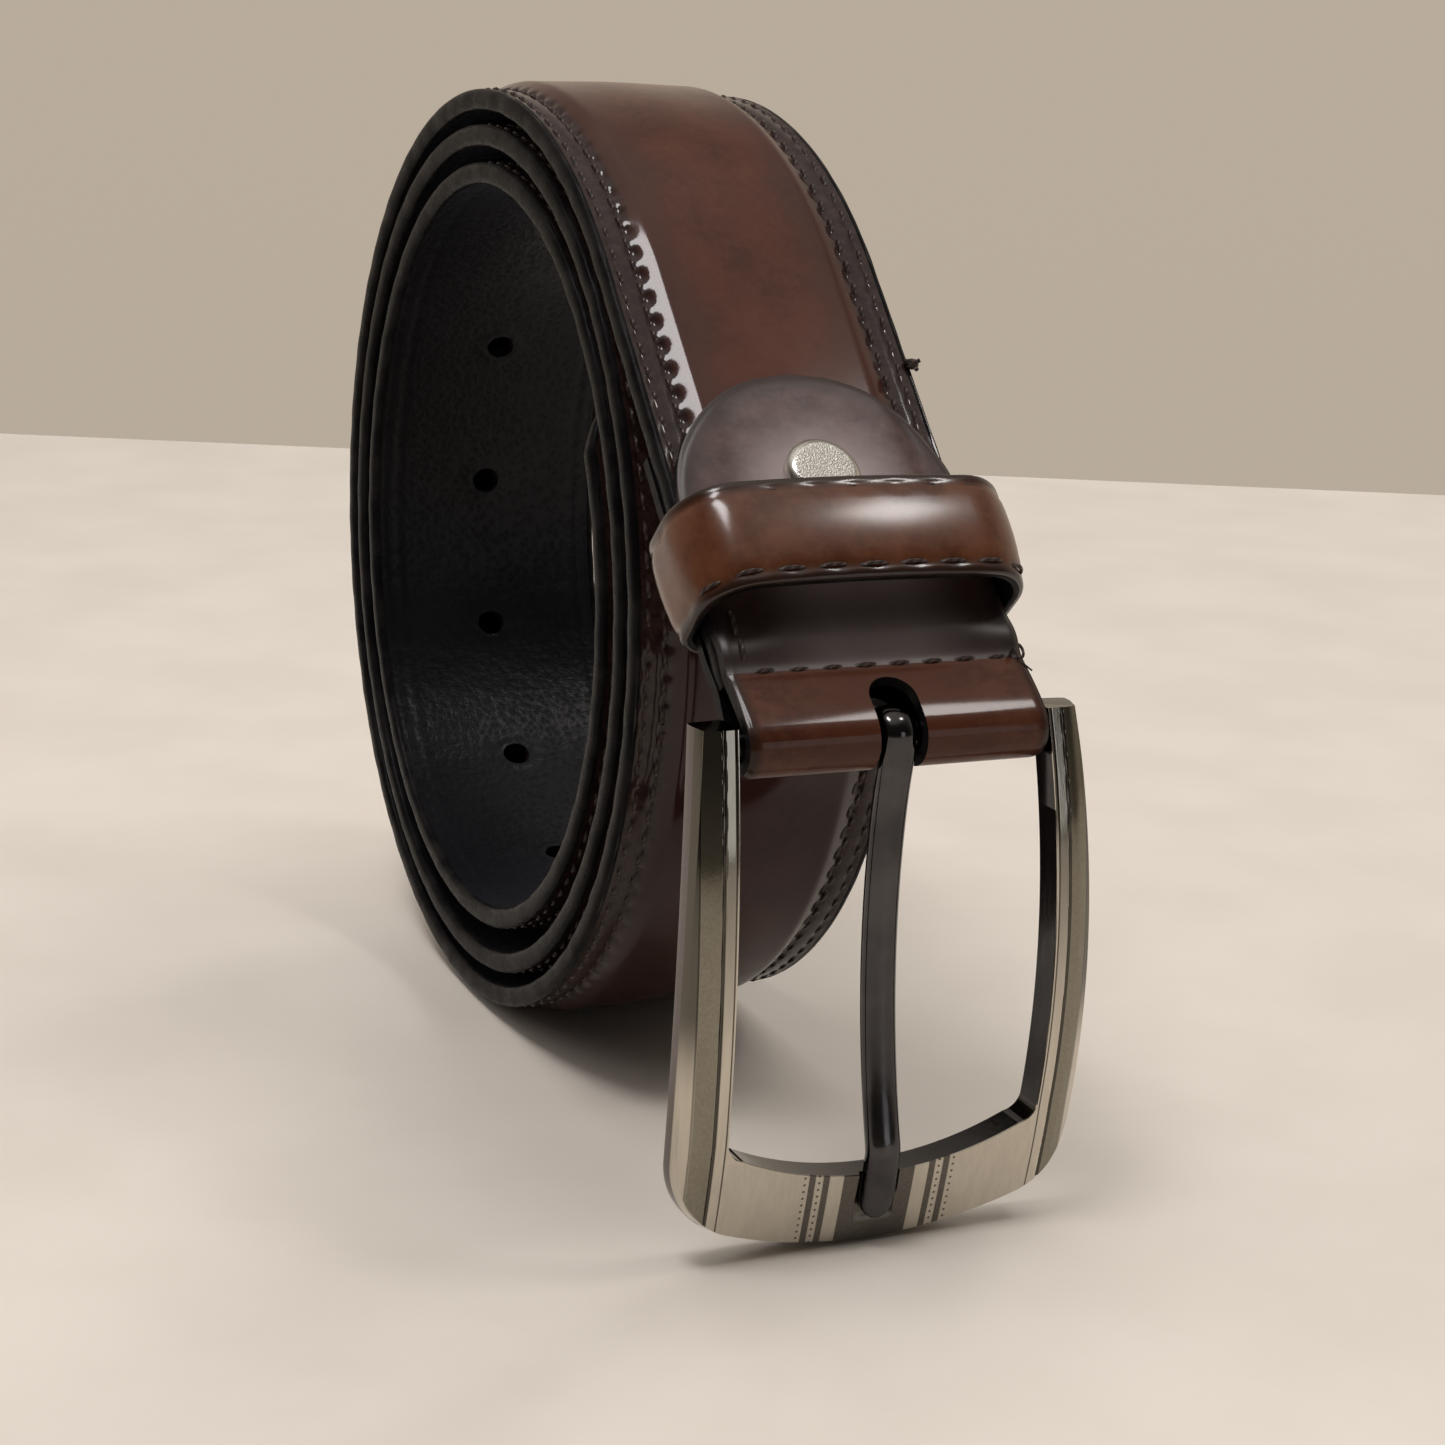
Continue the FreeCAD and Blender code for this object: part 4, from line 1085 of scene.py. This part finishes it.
def make_frame():
    """Rings of points from the window's edge over the front, round the outside and along the back."""
    outer, inner = (np.vstack([line, (line * (-1, 1))[-2::-1]]) for line in half_outlines())
    share = np.concatenate([[0], np.linspace(0.012, 0.985, 56), [1.0]])
    along = np.gradient(outer, axis=0)
    inward = unit(np.stack([-along[:, 1], along[:, 0]], -1))
    spots = inner[:, None] + (outer + inward * 0.55 - inner)[:, None] * share[None, :, None]
    x, h = spots[..., 0], spots[..., 1]
    y = frame_front(x, h)
    outer_back, inner_back = frame_back(outer[:, 1]), frame_back(inner[:, 1])
    lip, back = outer + inward * 0.5, inner - inward * 0.4
    ring = [hang_xyz(x, y, h)]
    for line, deep in ((outer, y[:, -1] + 0.55 * (outer_back - y[:, -1])), (outer, outer_back - 0.5),
                       (lip, frame_back(lip[:, 1])), (back, frame_back(back[:, 1])),
                       (inner, inner_back - 0.4)):
        ring.append(hang_xyz(line[:, 0], deep, line[:, 1])[:, None])
    uv = [pairs(straightened(x, h), h)]
    for line in (outer, outer, outer, inner, inner):
        uv.append(pairs(np.sign(line[:, 0]) * (WINDOW_HALF + OUTER_SIDE), line[:, 1])[:, None])
    ring = np.concatenate(ring, 1)
    mark = np.zeros(ring.shape[1], int)
    mark[-4:] = 1
    shape = Shape()
    shape.grid(ring, np.concatenate(uv, 1), ring=True, caps=True, mark=mark)
    shape.make("frame_shell", [FRAME_METAL, STEEL], "buckle", "buckle_metal", ("buckle_frame",), sharp=24)


def prong_line():
    """The prong's middle line, its thickness, and which of its points lie below the eye."""
    angle = np.radians(np.linspace(-75, 175, 48))
    eye = (PRONG_EYE + PRONG_HOLE) / 2 * np.stack([np.cos(angle), np.sin(angle)], -1)
    bend = (-PRONG_REST - PRONG_THICK, -PRONG_BEND)
    shank = arc((-PRONG_EYE, 0.0), bend, -PRONG_BOW, 0.9)[1:]
    tip = np.linspace(bend, (-PRONG_TIP_REST - PRONG_THICK + 0.2, -PRONG_LOW), 22)
    face = np.vstack([shank, tip])
    eye_thick = PRONG_EYE - PRONG_HOLE
    thick = eye_thick + (PRONG_THICK - eye_thick) * smooth(-face[:, 1], 0, 7)
    slope = np.gradient(face, axis=0)
    inward = unit(np.stack([-slope[:, 1], slope[:, 0]], -1))
    middle = np.vstack([eye, face + inward * thick[:, None] / 2])
    for _ in range(3):
        middle[1:-1] = (middle[:-2] + 2 * middle[1:-1] + middle[2:]) / 4
    return middle, np.concatenate([np.full(len(eye), eye_thick), thick]), np.arange(len(middle)) >= len(eye)


def make_prong():
    """A pin with a rounded front and a blunt tip, bent to an eye round the bar."""
    middle, thick, down = prong_line()
    ahead = np.gradient(middle, axis=0)
    outward = unit(np.stack([ahead[:, 1], -ahead[:, 0]], -1))
    left = PRONG_LOW + middle[:, 1]
    tip = np.sqrt(np.clip(1 - (1 - np.clip(left / PRONG_HALF, 0, 1)) ** 2, 0.0025, 1))
    wide = PRONG_HALF * np.where(down, tip, 1)
    thick = thick * np.where(down, 0.45 + 0.55 * np.sqrt(np.clip(left / 2.6, 0.02, 1)), 1)
    cos, sin = np.cos(full_turn(28)), np.sin(full_turn(28))
    across = np.sign(cos) * np.abs(cos) ** 0.72
    lift = np.where(sin > 0, np.abs(sin) ** 0.95, -np.abs(sin) ** 0.45)
    round_eye = np.where(down, 0, 1)[:, None] * 0.55 * np.abs(across) ** 2.4 * (lift > 0)
    rise = thick[:, None] / 2 * (lift - round_eye)
    x = wide[:, None] * across
    y, h = (middle[:, None, k] + outward[:, None, k] * rise for k in (0, 1))
    shape = Shape()
    shape.grid(hang_xyz(x, y, h), pairs(x, h), ring=True, caps=True)
    shape.make("prong_pin", [STEEL], "prong", "prong_metal", ("prong",), sharp=50)


# ---- camera, light and table ----

CAMERA_PLACE = (-129.28, -332.43, 129.64)
CAMERA_YAW, CAMERA_PITCH, CAMERA_ROLL = (math.radians(a) for a in (24.21, 14.45, 2.45))
LENS, SENSOR = 66.35, 36.0
AHEAD = Vector((math.sin(CAMERA_YAW), math.cos(CAMERA_YAW), 0))
RIGHT = Vector((AHEAD.y, -AHEAD.x, 0))
TABLE_NEAR, TABLE_FAR, TABLE_WIDE = -1200.0, 826.0, 1600.0
ROOM_STOPS = ((0.0, (0.36, 0.31, 0.26)), (0.49, (0.48, 0.41, 0.33)), (0.62, (0.50, 0.43, 0.35)),
              (0.85, (0.32, 0.29, 0.255)), (1.0, (0.80, 0.75, 0.69)))
DIM_STOPS = ((0.0, (0.30, 0.26, 0.22)), (0.49, (0.11, 0.095, 0.080)), (0.62, (0.045, 0.040, 0.036)),
             (0.85, (0.075, 0.068, 0.062)), (1.0, (0.80, 0.75, 0.69)))
LIGHT_AIM = Vector((0, -0.05, 0.06))


def make_camera():
    """A camera that stands in front, to the left and a little above."""
    data = bpy.data.cameras.new("camera")
    data.lens, data.sensor_width, data.clip_start = LENS, SENSOR, 0.01
    forward = AHEAD * math.cos(CAMERA_PITCH) - Vector((0, 0, math.sin(CAMERA_PITCH)))
    up = RIGHT.cross(forward)
    tilted = math.cos(CAMERA_ROLL) * RIGHT + math.sin(CAMERA_ROLL) * up
    upright = -math.sin(CAMERA_ROLL) * RIGHT + math.cos(CAMERA_ROLL) * up
    turn = Matrix((tilted, upright, -forward)).transposed().to_4x4()
    camera = add_object("camera", data)
    camera.matrix_world = Matrix.Translation(Vector(CAMERA_PLACE) * MM) @ turn
    bpy.context.scene.camera = camera


def make_table():
    """A pale table that ends with a straight edge across the view."""
    centre = Vector((CAMERA_PLACE[0], CAMERA_PLACE[1], 0))
    corners = [(centre + AHEAD * a + RIGHT * b) * MM
               for a, b in ((TABLE_NEAR, -TABLE_WIDE), (TABLE_NEAR, TABLE_WIDE),
                            (TABLE_FAR, TABLE_WIDE), (TABLE_FAR, -TABLE_WIDE))]
    data = bpy.data.meshes.new("table")
    data.from_pydata(corners, [], [(0, 1, 2, 3)])
    data.materials.append(plain_floor())
    add_object("table", data)


def area_light(name, place, size, watts, colour, fill=False):
    """A rectangular lamp in metres.  A fill lamp isn't seen in reflections."""
    data = bpy.data.lights.new(name, "AREA")
    data.shape, data.size, data.size_y = "RECTANGLE", size[0], size[1]
    data.energy, data.color = watts, colour
    lamp = add_object(name, data)
    lamp.visible_glossy = not fill
    lamp.location = place
    lamp.rotation_euler = (LIGHT_AIM - Vector(place)).to_track_quat("-Z", "Y").to_euler()


def room_colour(nodes, height, stops):
    """The room's colour from its floor, at 0, to its ceiling, at 1."""
    ramp = nodes.node("ShaderNodeValToRGB", {0: height})
    ramp.color_ramp.interpolation = "EASE"
    elements = ramp.color_ramp.elements
    while len(elements) < len(stops):
        elements.new(0.5)
    for element, (position, colour) in zip(elements, stops):
        element.position, element.color = position, (*colour, 1)
    return ramp.outputs[0]


def make_room():
    """A beige room that is bright behind the object and dim on the camera's side."""
    world = bpy.data.worlds.new("room")
    bpy.context.scene.world = world
    world.use_nodes = True
    nodes = Nodes(world.node_tree)
    direction = nodes.node("ShaderNodeTexCoord").outputs["Generated"]
    height = nodes.node("ShaderNodeSeparateXYZ", {0: direction}).outputs[2]
    height = nodes.node("ShaderNodeMapRange", {0: height, 1: -1.0}).outputs[0]
    ahead = nodes.node("ShaderNodeVectorMath", {0: direction, 1: AHEAD}, operation="DOT_PRODUCT")
    share = nodes.step(ahead.outputs["Value"], -0.35, 0.45)
    dim, bright = (room_colour(nodes, height, stops) for stops in (DIM_STOPS, ROOM_STOPS))
    nodes.feed(world.node_tree.nodes["Background"].inputs[0], nodes.mix(share, dim, bright))


def make_light():
    """Fill lamps for the even light, and lamps that are also seen in reflections."""
    bpy.context.scene.view_settings.view_transform = "Standard"
    make_room()
    area_light("lamp_left", (-0.31, -0.17, 0.95), (0.30, 0.19), 2.9, (1.0, 0.97, 0.97))
    area_light("overhead", (0.10, 0.20, 1.70), (1.6, 1.6), 9.0, (1.0, 0.98, 0.96), fill=True)
    area_light("lamp_right", (0.42, -0.255, 0.82), (0.12, 0.09), 0.75, (1.0, 0.96, 0.93))
    area_light("left_back", (-1.00, 0.35, 0.80), (0.9, 0.9), 2.4, (1.0, 0.97, 0.94), fill=True)
    area_light("right_low", (1.30, 0.95, 0.70), (0.6, 0.6), 8.0, (1.0, 0.97, 0.94), fill=True)
    area_light("window", (0.52, -1.15, 0.25), (0.22, 0.45), 0.35, (0.95, 0.97, 1.0))


make_camera()
make_table()
make_light()
make_strap()
make_strap_stitches()
make_chape()
make_chape_stitches()
make_rivet()
make_keeper()
make_keeper_stitches()
make_staple()
make_frame()
make_prong()
bar = frame["nodes"]["buckle_bar"]
bar.data.materials.clear()
bar.data.materials.append(STEEL)
